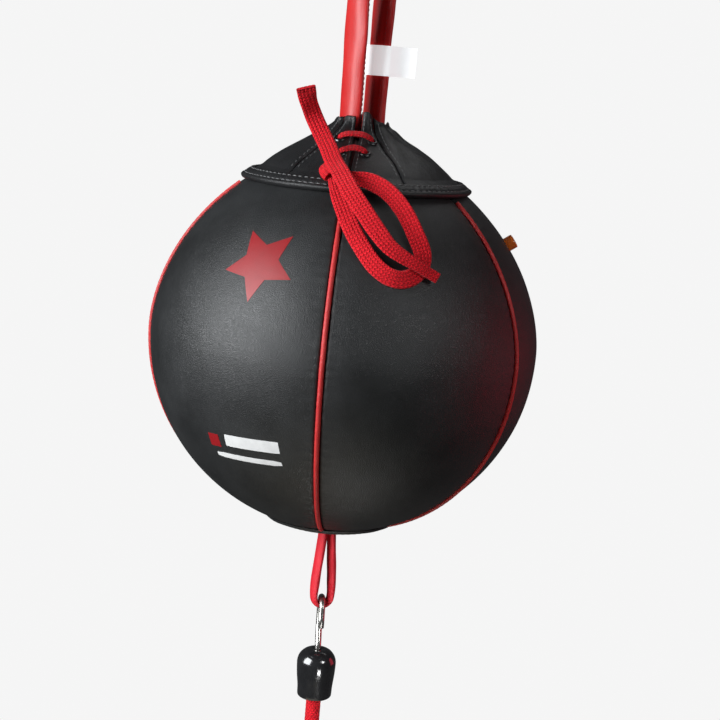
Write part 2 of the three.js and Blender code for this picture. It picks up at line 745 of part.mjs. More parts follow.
function addElasticCord() {
  const top = capMouthZ + capLength - capHeadDepth;
  const bottom = floorMouthZ - capLength + capHeadDepth;
  const points = [new THREE.Vector3(0, 0, top), new THREE.Vector3(0, 0, bottom)];
  addPiece(cordGroup, 'elastic_cord', roundTube(points, cordRadius, 12, 5), 'elastic');
}

addHangingLoop();
addLoopAnchor();
addLabel();
addPanels();
addPiping();
addBladder();
addValve();
addCollar();
addHem();
addTongue();
addEyelets();
addLaceCrossings();
addLaces();
addBottomPatch();
addLowerAnchor();
addLowerLoop();
addCordEnd('bag', capMouthZ + capLength, 0);
addCordEnd('floor', floorMouthZ - capLength, Math.PI);
addElasticCord();

export default bag;
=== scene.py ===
"""A double-end bag: a laced leather ball on a rolled strap, with an elastic cord hooked in below it.

Metres, +Z up.  The origin is the inside of the hanging strap's crown, and the laced front faces -Y.
Azimuths are degrees from the front towards +X.  An outline angle is 0 at the ball's widest level and
90 at its top.
"""
import logging
import math
from dataclasses import dataclass, field
from enum import Enum
from typing import Callable

import bmesh
import bpy
from bpy.types import Material, Node, NodeSocket, Object
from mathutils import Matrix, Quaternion, Vector
from mathutils.noise import noise


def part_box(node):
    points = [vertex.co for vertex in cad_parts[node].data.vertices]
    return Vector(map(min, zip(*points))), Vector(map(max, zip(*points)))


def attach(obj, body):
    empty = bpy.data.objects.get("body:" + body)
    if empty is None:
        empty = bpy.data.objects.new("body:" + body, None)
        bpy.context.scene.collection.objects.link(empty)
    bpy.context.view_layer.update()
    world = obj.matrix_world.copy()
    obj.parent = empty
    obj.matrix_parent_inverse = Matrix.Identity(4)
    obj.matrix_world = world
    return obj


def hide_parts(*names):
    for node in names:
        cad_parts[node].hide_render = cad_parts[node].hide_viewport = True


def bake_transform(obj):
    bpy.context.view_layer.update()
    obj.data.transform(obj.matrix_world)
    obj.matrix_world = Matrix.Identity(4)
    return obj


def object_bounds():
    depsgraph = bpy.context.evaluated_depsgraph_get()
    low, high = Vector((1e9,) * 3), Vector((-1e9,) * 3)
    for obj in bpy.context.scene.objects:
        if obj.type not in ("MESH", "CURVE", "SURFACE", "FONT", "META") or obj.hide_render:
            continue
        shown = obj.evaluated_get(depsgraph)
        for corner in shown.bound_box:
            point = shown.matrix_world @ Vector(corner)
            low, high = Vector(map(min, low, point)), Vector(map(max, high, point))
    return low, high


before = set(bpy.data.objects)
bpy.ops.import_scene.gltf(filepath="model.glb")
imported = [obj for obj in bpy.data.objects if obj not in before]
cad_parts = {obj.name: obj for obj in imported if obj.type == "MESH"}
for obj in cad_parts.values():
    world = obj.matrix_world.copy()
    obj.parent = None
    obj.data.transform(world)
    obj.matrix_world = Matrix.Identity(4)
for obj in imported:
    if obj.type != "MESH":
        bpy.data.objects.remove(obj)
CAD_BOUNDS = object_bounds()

LOG = logging.getLogger("double_end_bag")
MM = 0.001
Section = list[tuple[float, float]]


class Body(Enum):
    """The moving bodies of the frame."""

    HANGER = "hanger"
    BALL = "ball"
    LOWER_STRAP = "lower_strap"
    UPPER_HOOK = "upper_hook"
    CORD_TOP = "cord_top"
    CORD_FOOT = "cord_foot"
    FOOT_HOOK = "foot_hook"


class Side(Enum):
    """The two sides of the laced slit."""

    LEFT = -1
    RIGHT = 1


class Finish(Enum):
    """The record's material slots."""

    BALL_LEATHER = "ball_leather"
    COLLAR_LEATHER = "collar_leather"
    STRAP_LEATHER = "strap_leather"
    PIPING = "piping"
    LACE = "lace"
    LABEL = "label"
    RUBBER = "rubber"
    VALVE_RUBBER = "valve_rubber"
    EYELET = "black_metal"
    STEEL = "steel"
    CAP = "cap_plastic"
    ELASTIC = "elastic"


# ---- Small helpers ----


def blend_value(first: float, second: float, share: float) -> float:
    """Return the value a share of the way from first to second."""
    return first + (second - first) * share


def ease(low: float, high: float, value: float) -> float:
    """Return a smooth step from 0 at low to 1 at high."""
    share = min(1.0, max(0.0, (value - low) / (high - low)))
    return share * share * (3 - 2 * share)


def rolled_drop(distance: float, radius: float) -> float:
    """Return how far a rounded edge has dropped at a distance inside the edge.

    Args:
        distance: Distance from the edge.
        radius: Radius of the rounding.

    Returns:
        The drop, from radius at the edge to 0 where the rounding ends.
    """
    left = max(0.0, radius - distance)
    return radius - math.sqrt(max(0.0, radius * radius - left * left))


def deselect_all() -> None:
    """Leave nothing selected and no object in edit mode."""
    if bpy.context.object and bpy.context.object.mode != "OBJECT":
        bpy.ops.object.mode_set(mode="OBJECT")
    bpy.ops.object.select_all(action="DESELECT")


def make_active(piece: Object) -> None:
    """Select one object alone and make it active."""
    deselect_all()
    piece.select_set(True)
    bpy.context.view_layer.objects.active = piece


def apply_modifiers(piece: Object) -> None:
    """Apply all of a piece's modifiers in their order."""
    make_active(piece)
    for modifier in list(piece.modifiers):
        bpy.ops.object.modifier_apply(modifier=modifier.name)


def turn_outward(piece: Object) -> None:
    """Merge doubled corners and turn every face of a closed piece outward."""
    make_active(piece)
    bpy.ops.object.mode_set(mode="EDIT")
    bpy.ops.mesh.select_all(action="SELECT")
    bpy.ops.mesh.remove_doubles(threshold=1e-6)
    bpy.ops.mesh.normals_make_consistent(inside=False)
    bpy.ops.object.mode_set(mode="OBJECT")


def smooth_faces(piece: Object, sharp_angle: float = 40.0) -> None:
    """Shade a piece smooth, with edges above an angle in degrees left sharp."""
    make_active(piece)
    bpy.ops.object.shade_smooth_by_angle(angle=math.radians(sharp_angle))


def settle(piece: Object, finish: Finish, material: Material, body: Body, *nodes: str) -> Object:
    """Dress a piece, let it ride on its body and stand for its frame nodes.

    Args:
        piece: The finished mesh.
        finish: The record's material slot; not used.
        material: What it is covered with.
        body: The body that it moves with.
        nodes: The frame nodes that it stands for.

    Returns:
        The same piece.
    """
    dress(piece, finish, material)
    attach(piece, body.value)
    if nodes:
        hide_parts(*nodes)
    return piece


def dress(piece: Object, finish: Finish, material: Material) -> None:
    """Give a piece its only material."""
    piece.data.materials.clear()
    piece.data.materials.append(material)
    LOG.info("%s: %d faces", piece.name, len(piece.data.polygons))


def surface_grid(name: str, columns: int, rows: int, place: Callable[[float, float], Vector],
                 closed: bool = False) -> Object:
    """Lay a quad surface through places worked out from two shares.

    Args:
        name: The object's name.
        columns: Faces across.
        rows: Faces along.
        place: Gives a point from its share across and its share along.
        closed: Whether the last column joins the first.

    Returns:
        The mesh object, with a UV map of the two shares.
    """
    across = columns if closed else columns + 1
    corners = [place(i / columns, j / rows) for j in range(rows + 1) for i in range(across)]
    faces = []
    for j in range(rows):
        for i in range(columns):
            right = (i + 1) % across
            faces.append((j * across + i, j * across + right, (j + 1) * across + right, (j + 1) * across + i))
    mesh = bpy.data.meshes.new(name)
    mesh.from_pydata(corners, [], faces)
    layer = mesh.uv_layers.new(name="shares")
    for face_index, polygon in enumerate(mesh.polygons):
        j, i = divmod(face_index, columns)
        shares = ((i, j), (i + 1, j), (i + 1, j + 1), (i, j + 1))
        for loop, (u, v) in zip(polygon.loop_indices, shares):
            layer.data[loop].uv = (u / columns, v / rows)
    piece = bpy.data.objects.new(name, mesh)
    bpy.context.scene.collection.objects.link(piece)
    return piece


def thicken(piece: Object, thickness: float) -> None:
    """Give a surface whose faces point outward a wall that grows inward."""
    wall = piece.modifiers.new("wall", "SOLIDIFY")
    wall.thickness = thickness
    wall.offset = -1
    wall.use_even_offset = False
    apply_modifiers(piece)


def smooth_path(points: list[Vector], count: int) -> list[Vector]:
    """Return evenly spaced points along a centripetal curve through some others.

    Args:
        points: The points that the curve passes through.
        count: How many points to return.

    Returns:
        The points, the first and last of which are those given.
    """
    ends = [points[0] * 2 - points[1], *points, points[-1] * 2 - points[-2]]
    dense = []
    for quad in zip(ends, ends[1:], ends[2:], ends[3:]):
        knots = [0.0]
        for first, second in zip(quad, quad[1:]):
            knots.append(knots[-1] + max(1e-6, (second - first).length) ** 0.5)
        for step in range(16):
            dense.append(_spline_point(quad, knots, blend_value(knots[1], knots[2], step / 16)))
    dense.append(points[-1])
    runs = [0.0]
    for first, second in zip(dense, dense[1:]):
        runs.append(runs[-1] + (second - first).length)
    even = []
    at = 0
    for step in range(count):
        reach = runs[-1] * step / (count - 1)
        while at < len(runs) - 2 and runs[at + 1] < reach:
            at += 1
        gap = max(1e-9, runs[at + 1] - runs[at])
        even.append(dense[at].lerp(dense[at + 1], min(1.0, (reach - runs[at]) / gap)))
    return even


def _spline_point(quad: tuple[Vector, ...], knots: list[float], at: float) -> Vector:
    """Return the point of one centripetal span at a knot value."""
    level = list(quad)
    for spans in (((0, 1), (1, 2), (2, 3)), ((0, 2), (1, 3)), ((1, 2),)):
        shares = [(at - knots[start]) / (knots[end] - knots[start]) for start, end in spans]
        level = [first.lerp(second, share) for first, second, share in zip(level, level[1:], shares)]
    return level[0]


def path_length(points: list[Vector]) -> float:
    """Return the length of a run of points."""
    return sum((second - first).length for first, second in zip(points, points[1:]))


def sweep(name: str, spine: list[Vector], side_at: Callable[[float, Vector, Vector], Vector],
          section_at: Callable[[float], Section]) -> Object:
    """Carry a closed section along a spine and close both ends.

    Args:
        name: The object's name.
        spine: The middle line's points.
        side_at: Gives the section's sideways direction from share, point and direction of travel.
        section_at: Gives the section's corners, sideways and outward, from the share along.

    Returns:
        The closed mesh, with a UV map in metres along and shares across.
    """
    rings = []
    runs = [0.0]
    last = len(spine) - 1
    for i, point in enumerate(spine):
        along = (spine[min(last, i + 1)] - spine[max(0, i - 1)]).normalized()
        share = i / last
        side = side_at(share, point, along)
        side = (side - along * side.dot(along)).normalized()
        out = along.cross(side)
        rings.append([point + side * x + out * y for x, y in section_at(share)])
        if i:
            runs.append(runs[-1] + (point - spine[i - 1]).length)
    around = len(rings[0])
    half_width = max(abs(x) for x, _ in section_at(0.5)) or 1.0
    corners = [corner for ring in rings for corner in ring]
    faces = []
    marks = []
    for j in range(last):
        section = section_at(j / last)
        for i in range(around):
            right = (i + 1) % around
            faces.append((j * around + i, j * around + right, (j + 1) * around + right, (j + 1) * around + i))
            low = section[i][0] / half_width * 0.5 + 0.5
            high = section[right][0] / half_width * 0.5 + 0.5
            marks.append(((runs[j], low), (runs[j], high), (runs[j + 1], high), (runs[j + 1], low)))
    for ring_start, ring_run in ((0, runs[0]), (last * around, runs[-1])):
        faces.append(tuple(range(ring_start, ring_start + around)))
        marks.append(tuple((ring_run, 0.5) for _ in range(around)))
    mesh = bpy.data.meshes.new(name)
    mesh.from_pydata(corners, [], faces)
    layer = mesh.uv_layers.new(name="along")
    for polygon, mark in zip(mesh.polygons, marks):
        for loop, uv in zip(polygon.loop_indices, mark):
            layer.data[loop].uv = uv
    piece = bpy.data.objects.new(name, mesh)
    bpy.context.scene.collection.objects.link(piece)
    turn_outward(piece)
    return piece


def turned(name: str, profile: list[tuple[float, float]], steps: int, height: float = 0.0) -> Object:
    """Spin a closed profile of radii and heights right round Z.

    Args:
        name: The object's name.
        profile: Radius and height of each corner, in order round the profile.
        steps: How many faces go round.
        height: What is added to every height.

    Returns:
        The closed, smooth-shaded mesh.
    """
    mesh = bpy.data.meshes.new(name)
    corners = [(radius, 0, z + height) for radius, z in profile]
    edges = [(i, (i + 1) % len(profile)) for i in range(len(profile))]
    mesh.from_pydata(corners, edges, [])
    piece = bpy.data.objects.new(name, mesh)
    bpy.context.scene.collection.objects.link(piece)
    make_active(piece)
    bpy.ops.object.mode_set(mode="EDIT")
    bpy.ops.mesh.select_all(action="SELECT")
    bpy.ops.mesh.spin(steps=steps, angle=2 * math.pi, center=(0, 0, 0), axis=(0, 0, 1))
    bpy.ops.mesh.select_all(action="SELECT")
    bpy.ops.mesh.remove_doubles(threshold=1e-6)
    bpy.ops.mesh.normals_make_consistent(inside=False)
    bpy.ops.object.mode_set(mode="OBJECT")
    smooth_faces(piece, 50)
    return piece


def wire(name: str, points: list[Vector], radius: float, sides: int) -> Object:
    """Bend a round wire along some points.

    Args:
        name: The object's name.
        points: The middle line.
        radius: The wire's radius.
        sides: Faces round the wire, a multiple of four.

    Returns:
        The closed mesh.
    """
    curve = bpy.data.curves.new(name, "CURVE")
    curve.dimensions = "3D"
    curve.bevel_depth = radius
    curve.bevel_resolution = sides // 4
    curve.use_fill_caps = True
    spline = curve.splines.new("POLY")
    spline.points.add(len(points) - 1)
    for target, point in zip(spline.points, points):
        target.co = (*point, 1)
    piece = bpy.data.objects.new(name, curve)
    bpy.context.scene.collection.objects.link(piece)
    make_active(piece)
    bpy.ops.object.convert(target="MESH")
    piece = bpy.context.object
    turn_outward(piece)
    return piece


def stitch_run(name: str, places: list[Vector], aways: list[Vector], length: float, width: float) -> Object:
    """Sew a row of short raised stitches, each one pinched where it enters the leather.

    Args:
        name: The object's name.
        places: Points along the row, evenly spaced, a stitch between each pair.
        aways: The surface's outward direction at each point.
        length: A stitch's length.
        width: A stitch's width.

    Returns:
        One mesh that holds every stitch.
    """
    corners = []
    faces = []
    profile = ((-0.5, 0.35, -0.5), (-0.25, 1.0, 0.25), (0.25, 1.0, 0.25), (0.5, 0.35, -0.5))
    for first, second, away in zip(places, places[1:], aways):
        middle = (first + second) / 2
        along = (second - first).normalized()
        side = away.cross(along).normalized()
        base = len(corners)
        for reach, share, rise in profile:
            for turn in range(6):
                angle = 2 * math.pi * turn / 6
                offset = side * math.cos(angle) * width / 2 + away * math.sin(angle) * width / 2
                corners.append(middle + along * reach * length + offset * share + away * rise * width * 0.6)
        for ring in range(len(profile) - 1):
            for turn in range(6):
                a = base + ring * 6 + turn
                b = base + ring * 6 + (turn + 1) % 6
                faces.append((a, b, b + 6, a + 6))
        faces.append(tuple(range(base + 5, base - 1, -1)))
        faces.append(tuple(range(base + 18, base + 24)))
    mesh = bpy.data.meshes.new(name)
    mesh.from_pydata(corners, [], faces)
    piece = bpy.data.objects.new(name, mesh)
    bpy.context.scene.collection.objects.link(piece)
    turn_outward(piece)
    smooth_faces(piece, 60)
    return piece


# ---- Materials ----


class Recipe:
    """Short ways to wire the nodes of one material."""

    def __init__(self, name: str) -> None:
        """Start a material with a shader and its two pattern spaces."""
        self.material = bpy.data.materials.new(name)
        self.material.use_nodes = True
        self.tree = self.material.node_tree
        self.shader = self.tree.nodes["Principled BSDF"]
        self.spaces = self.tree.nodes.new("ShaderNodeTexCoord")

    def node(self, kind: str, **settings: object) -> Node:
        """Add a node and set its properties."""
        made = self.tree.nodes.new(kind)
        for key, value in settings.items():
            setattr(made, key, value)
        return made

    def feed(self, socket: NodeSocket, value: NodeSocket | float) -> None:
        """Link a socket, or set it where the value is a number."""
        if isinstance(value, NodeSocket):
            self.tree.links.new(value, socket)
        else:
            socket.default_value = value

    def stretched(self, space: NodeSocket, scale: tuple[float, float, float]) -> NodeSocket:
        """Return a pattern space scaled along its axes."""
        mapping = self.node("ShaderNodeMapping")
        self.feed(mapping.inputs["Vector"], space)
        mapping.inputs["Scale"].default_value = scale
        return mapping.outputs["Vector"]

    def noise(self, scale: float, detail: float = 3.0, rough: float = 0.5,
              space: NodeSocket | None = None) -> NodeSocket:
        """Return a noise pattern's value, on Object coordinates unless told otherwise."""
        made = self.node("ShaderNodeTexNoise")
        self.feed(made.inputs["Vector"], space or self.spaces.outputs["Object"])
        made.inputs["Scale"].default_value = scale
        made.inputs["Detail"].default_value = detail
        made.inputs["Roughness"].default_value = rough
        return made.outputs["Fac"]

    def cells(self, scale: float, space: NodeSocket | None = None) -> NodeSocket:
        """Return the distance pattern of leather pebbles."""
        made = self.node("ShaderNodeTexVoronoi", feature="DISTANCE_TO_EDGE")
        self.feed(made.inputs["Vector"], space or self.spaces.outputs["Object"])
        made.inputs["Scale"].default_value = scale
        return made.outputs["Distance"]

    def math(self, operation: str, first: NodeSocket | float, second: NodeSocket | float = 0.0) -> NodeSocket:
        """Return the result of one sum."""
        made = self.node("ShaderNodeMath", operation=operation)
        self.feed(made.inputs[0], first)
        self.feed(made.inputs[1], second)
        return made.outputs["Value"]

    def ranged(self, value: NodeSocket, low: float, high: float, to_low: float, to_high: float) -> NodeSocket:
        """Return a value carried from one range to another and held inside it."""
        made = self.node("ShaderNodeMapRange")
        self.feed(made.inputs["Value"], value)
        for key, number in (("From Min", low), ("From Max", high), ("To Min", to_low), ("To Max", to_high)):
            made.inputs[key].default_value = number
        return made.outputs["Result"]

    def mixed(self, share: NodeSocket, first: NodeSocket | tuple, second: tuple) -> NodeSocket:
        """Return a colour between two others."""
        made = self.node("ShaderNodeMix", data_type="RGBA")
        self.feed(made.inputs[0], share)
        if isinstance(first, tuple):
            made.inputs[6].default_value = (*first, 1)
        else:
            self.feed(made.inputs[6], first)
        made.inputs[7].default_value = (*second, 1)
        return made.outputs[2]

    def raised(self, height: NodeSocket, depth: float, strength: float = 1.0,
               under: NodeSocket | None = None) -> NodeSocket:
        """Return a normal that a height pattern has raised, on top of another if given."""
        made = self.node("ShaderNodeBump")
        made.inputs["Distance"].default_value = depth
        made.inputs["Strength"].default_value = strength
        self.feed(made.inputs["Height"], height)
        if under:
            self.feed(made.inputs["Normal"], under)
        return made.outputs["Normal"]

    def finish(self, colour: NodeSocket | tuple, rough: NodeSocket | float,
               normal: NodeSocket | None = None) -> Material:
        """Connect colour, roughness and normal, and return the material."""
        if isinstance(colour, tuple):
            self.shader.inputs["Base Color"].default_value = (*colour, 1)
        else:
            self.feed(self.shader.inputs["Base Color"], colour)
        self.feed(self.shader.inputs["Roughness"], rough)
        if normal:
            self.feed(self.shader.inputs["Normal"], normal)
        return self.material


@dataclass(frozen=True)
class Leather:
    """Grained leather with creases and a slow change of tone.

    Attributes:
        name: The material's name.
        colour: Its usual colour.
        worn: Its colour where it is rubbed.
        roughness: Its usual roughness.
        pebble_scale: Pebbles per metre.
        pebble_depth: Depth of the grain between them.
        crease_depth: Depth of the longer creases.
        coat: Weight of the clear dressing on it.
        shine: Its specular level.
    """

    name: str
    colour: tuple[float, float, float]
    worn: tuple[float, float, float]
    roughness: float
    pebble_scale: float = 1500.0
    pebble_depth: float = 0.00005
    crease_depth: float = 0.0002
    coat: float = 0.0
    shine: float = 0.5

    def build(self) -> Material:
        """Return the material."""
        recipe = Recipe(self.name)
        tone = recipe.noise(28, 4, 0.6)
        specks = recipe.noise(900, 3, 0.7)
        shade = recipe.ranged(tone, 0.35, 0.68, 0.0, 0.8)
        shade = recipe.math("ADD", shade, recipe.ranged(specks, 0.52, 0.8, 0.0, 0.55))
        colour = recipe.mixed(shade, self.colour, self.worn)
        pebbles = recipe.ranged(recipe.cells(self.pebble_scale), 0.0, 0.25, 0.0, 1.0)
        creases = recipe.noise(190, 5, 0.55, recipe.stretched(recipe.spaces.outputs["Object"], (1, 1, 0.45)))
        under = recipe.raised(creases, self.crease_depth, 0.6)
        normal = recipe.raised(pebbles, self.pebble_depth, 0.9, under)
        rough = recipe.math("ADD", recipe.ranged(tone, 0.3, 0.7, -0.05, 0.06), self.roughness)
        rough = recipe.math("ADD", rough, recipe.ranged(pebbles, 0.0, 0.5, 0.08, 0.0))
        recipe.shader.inputs["Coat Weight"].default_value = self.coat
        recipe.shader.inputs["Coat Roughness"].default_value = 0.22
        recipe.shader.inputs["Specular IOR Level"].default_value = self.shine
        return recipe.finish(colour, rough, normal)


@dataclass(frozen=True)
class Knit:
    """A ribbed tube-knit lace, patterned on its own UV map: metres along and a share across.

    Attributes:
        name: The material's name.
        colour: The yarn's colour.
        shade_and_mottle: Its colour between the stitches and ribs, which is painted shade, and where the fine
            fuzz runs low.
        ribs: Ribs across the lace.
        pitch: Length of a stitch.
    """

    name: str
    colour: tuple[float, float, float]
    shade_and_mottle: tuple[float, float, float]
    ribs: int
    pitch: float

    def build(self) -> Material:
        """Return the material."""
        recipe = Recipe(self.name)
        parts = recipe.node("ShaderNodeSeparateXYZ")
        recipe.feed(parts.inputs["Vector"], recipe.spaces.outputs["UV"])
        across = recipe.math("FRACT", recipe.math("MULTIPLY", parts.outputs["Y"], self.ribs))
        from_middle = recipe.math("ABSOLUTE", recipe.math("SUBTRACT", across, 0.5))
        wander = recipe.math("MULTIPLY", recipe.noise(700, 2, 0.6), 0.9)
        phase = recipe.math("DIVIDE", parts.outputs["X"], self.pitch)
        phase = recipe.math("ADD", phase, recipe.math("MULTIPLY", from_middle, 1.3))
        phase = recipe.math("ADD", phase, wander)
        wave = recipe.math("SINE", recipe.math("MULTIPLY", phase, 2 * math.pi))
        stitch = recipe.ranged(wave, -0.9, 0.6, 0.0, 1.0)
        between = recipe.ranged(from_middle, 0.36, 0.5, 1.0, 0.0)
        height = recipe.math("MULTIPLY", stitch, between)
        fuzz = recipe.noise(5200, 2, 0.7)
        # Painted shade: the colour darkens where the stitch height is low, between the stitches and ribs, and
        # the fuzz adds a random mottle.
        light = recipe.math("ADD", recipe.math("MULTIPLY", height, 0.8), recipe.math("MULTIPLY", fuzz, 0.3))
        colour = recipe.mixed(light, self.shade_and_mottle, self.colour)
        normal = recipe.raised(height, 0.0004, 0.8)
        normal = recipe.raised(fuzz, 0.0001, 0.5, normal)
        recipe.shader.inputs["Sheen Weight"].default_value = 0.08
        recipe.shader.inputs["Sheen Roughness"].default_value = 0.4
        recipe.shader.inputs["Specular IOR Level"].default_value = 0.25
        return recipe.finish(colour, 0.8, normal)


@dataclass(frozen=True)
class Metal:
    """Plated metal with fine drawn lines and smudges.

    Attributes:
        name: The material's name.
        colour: The plating's colour.
        dull: Its colour where it is smudged.
        roughness: Its usual roughness.
        metallic: Share of metal in the shader.
    """

    name: str
    colour: tuple[float, float, float]
    dull: tuple[float, float, float]
    roughness: float
    metallic: float = 1.0

    def build(self) -> Material:
        """Return the material."""
        recipe = Recipe(self.name)
        smudges = recipe.noise(160, 5, 0.65)
        lines = recipe.noise(2600, 2, 0.5, recipe.stretched(recipe.spaces.outputs["Object"], (1, 1, 0.08)))
        colour = recipe.mixed(recipe.ranged(smudges, 0.45, 0.7, 0.0, 1.0), self.colour, self.dull)
        rough = recipe.math("ADD", recipe.ranged(smudges, 0.4, 0.7, 0.0, 0.14), self.roughness)
        recipe.shader.inputs["Metallic"].default_value = self.metallic
        return recipe.finish(colour, rough, recipe.raised(lines, 0.000001, 0.15))


@dataclass(frozen=True)
class Moulded:
    """Moulded or dipped plastic or rubber.

    Attributes:
        name: The material's name.
        colour: Its colour.
        second: Its colour in the slow mottle.
        roughness: Its usual roughness.
        coat: Weight of the clear skin on it.
        ripple: Depth of the slow unevenness of the surface.
    """

    name: str
    colour: tuple[float, float, float]
    second: tuple[float, float, float]
    roughness: float
    coat: float
    ripple: float

    def build(self) -> Material:
        """Return the material."""
        recipe = Recipe(self.name)
        mottle = recipe.noise(120, 4, 0.6)
        grain = recipe.noise(2500, 2, 0.5)
        colour = recipe.mixed(recipe.ranged(mottle, 0.35, 0.7, 0.0, 1.0), self.colour, self.second)
        rough = recipe.math("ADD", recipe.ranged(grain, 0.3, 0.7, -0.02, 0.05), self.roughness)
        normal = recipe.raised(mottle, self.ripple, 0.5)
        recipe.shader.inputs["Coat Weight"].default_value = self.coat
        recipe.shader.inputs["Coat Roughness"].default_value = 0.06
        return recipe.finish(colour, rough, normal)


@dataclass(frozen=True)
class Cloth:
    """Fine plain-woven cloth or printed ink on Object coordinates.

    Attributes:
        name: The material's name.
        colour: The face's colour.
        shade_and_mottle: Its colour between the threads, which is painted shade, and where the soil noise
            darkens it.
        roughness: Its roughness.
        threads: Threads per metre.
        weave_depth: Depth between threads.
        painted_glow: Strength of a painted glow, its own colour given off so that it looks brighter than its
            lighting makes it.
    """

    name: str
    colour: tuple[float, float, float]
    shade_and_mottle: tuple[float, float, float]
    roughness: float
    threads: float
    weave_depth: float
    painted_glow: float = 0.0

    def build(self) -> Material:
        """Return the material."""
        recipe = Recipe(self.name)
        parts = recipe.node("ShaderNodeSeparateXYZ")
        recipe.feed(parts.inputs["Vector"], recipe.spaces.outputs["Object"])
        turns = self.threads * 2 * math.pi
        warp = recipe.math("SINE", recipe.math("MULTIPLY", parts.outputs["X"], turns))
        weft = recipe.math("SINE", recipe.math("MULTIPLY", parts.outputs["Z"], turns))
        weave = recipe.math("MULTIPLY", warp, weft)
        soil = recipe.noise(220, 4, 0.6)
        # Painted shade: the colour darkens between the threads where the weave dips, and the soil noise adds
        # random darker patches.
        shade = recipe.math("ADD", recipe.ranged(weave, -1, 1, 0.0, 0.5),
                            recipe.ranged(soil, 0.4, 0.7, 0.5, 0.2))
        colour = recipe.mixed(shade, self.shade_and_mottle, self.colour)
        # Painted glow: the cloth gives off its own colour, which stands in for light that it does not get.
        recipe.feed(recipe.shader.inputs["Emission Color"], colour)
        recipe.shader.inputs["Emission Strength"].default_value = self.painted_glow
        return recipe.finish(colour, self.roughness, recipe.raised(weave, self.weave_depth, 0.6))


@dataclass(frozen=True)
class Palette:
    """Every material of the bag, built once."""

    ball: Material
    collar: Material
    strap: Material
    lower_strap: Material
    piping: Material
    lace: Material
    elastic: Material
    label: Material
    bladder: Material
    valve: Material
    eyelet: Material
    steel: Material
    cap: Material
    thread: Material
    red_thread: Material
    red_print: Material
    white_print: Material

    @staticmethod
    def mixed() -> "Palette":
        """Return the palette with every material built."""
        return Palette(
            ball=Leather("ball_leather", (0.010, 0.0105, 0.011), (0.020, 0.021, 0.022), 0.40, 1300, 0.00007,
                         0.0002).build(),
            collar=Leather("collar_leather", (0.009, 0.009, 0.0095), (0.017, 0.017, 0.018), 0.34, 1500,
                           0.00006, 0.0006, shine=0.35).build(),
            strap=Leather("strap_leather", (0.44, 0.012, 0.012), (0.54, 0.022, 0.020), 0.34, 1900,
                          0.00002, 0.0003, shine=0.4).build(),
            lower_strap=Leather("lower_strap_leather", (0.60, 0.008, 0.022), (0.72, 0.014, 0.03), 0.5, 1300,
                                0.00010, 0.0002).build(),
            piping=Leather("piping_leather", (0.46, 0.014, 0.016), (0.58, 0.03, 0.03), 0.42, 1700, 0.00006,
                           0.0003).build(),
            # The lace and the elastic carry a darker second colour, which is painted shade between their
            # stitches.
            lace=Knit("lace_knit", (0.84, 0.010, 0.022), (0.32, 0.0, 0.005), 5, 1.7 * MM).build(),
            elastic=Knit("elastic_cover", (0.84, 0.008, 0.020), (0.40, 0.0, 0.006), 14, 1.3 * MM).build(),
            # The label carries a painted glow of 0.55 that brightens its white.
            label=Cloth("label_satin", (0.90, 0.91, 0.92), (0.78, 0.79, 0.81),
                        0.5, 2600, 0.00002, 0.55).build(),
            bladder=Moulded("bladder_rubber", (0.02, 0.018, 0.017), (0.035, 0.032, 0.03),
                            0.6, 0.0, 0.0001).build(),
            valve=Moulded("valve_rubber", (0.80, 0.17, 0.012), (0.62, 0.10, 0.008), 0.3, 0.6, 0.0001).build(),
            eyelet=Metal("eyelet_enamel", (0.07, 0.07, 0.072), (0.04, 0.04, 0.042), 0.26).build(),
            steel=Metal("plated_steel", (0.66, 0.65, 0.62), (0.42, 0.40, 0.36), 0.24).build(),
            cap=Moulded("dipped_plastic", (0.010, 0.010, 0.011), (0.016, 0.016, 0.017),
                        0.16, 1.0, 0.0006).build(),
            # The threads and prints carry a darker second colour, which is painted shade between their
            # threads, mixed with soil.
            thread=Cloth("grey_thread", (0.16, 0.16, 0.165), (0.05, 0.05, 0.05), 0.5, 3000, 0.00005).build(),
            red_thread=Cloth("red_thread", (0.34, 0.010, 0.012), (0.20, 0.004, 0.005),
                             0.5, 3000, 0.00005).build(),
            red_print=Cloth("red_print", (0.30, 0.006, 0.010), (0.20, 0.004, 0.006),
                            0.42, 1500, 0.00003).build(),
            white_print=Cloth("white_print", (0.80, 0.80, 0.80), (0.55, 0.55, 0.55),
                              0.45, 1500, 0.00003).build(),
        )


# ---- The ball's outline and the collar's line ----


@dataclass(frozen=True)
class Outline:
    """The ball's outline, and places on it and off it.

    Attributes:
        centre_z: Height of the ball's centre.
        radius: Its radius.
        upper_fullness: 2 is a true circle above the widest level; less draws it in towards the neck.
    """

    centre_z: float
    radius: float = 102 * MM
    upper_fullness: float = 1.84

    def point(self, angle: float, lift: float = 0.0) -> tuple[float, float]:
        """Return radius and height from the centre at an outline angle and a lift off the outline."""
        turn = math.radians(angle)
        power = 2 / (self.upper_fullness if angle > 0 else 2)
        reach = self.radius + lift
        height = math.copysign(abs(math.sin(turn)) ** power, turn)
        return reach * max(0.0, math.cos(turn)) ** power, reach * height

    def turned_to(self, azimuth: float, point: tuple[float, float]) -> Vector:
        """Return the place of a radius and height from the centre at an azimuth."""
        turn = math.radians(azimuth)
        return Vector((point[0] * math.sin(turn), -point[0] * math.cos(turn), point[1] + self.centre_z))

    def place(self, azimuth: float, angle: float, lift: float = 0.0) -> Vector:
        """Return the place at an azimuth, an outline angle and a lift."""
        return self.turned_to(azimuth, self.point(angle, lift))

    def away(self, azimuth: float, angle: float) -> Vector:
        """Return the outward direction at a place on the outline."""
        return (self.place(azimuth, angle, MM) - self.place(azimuth, angle)).normalized()


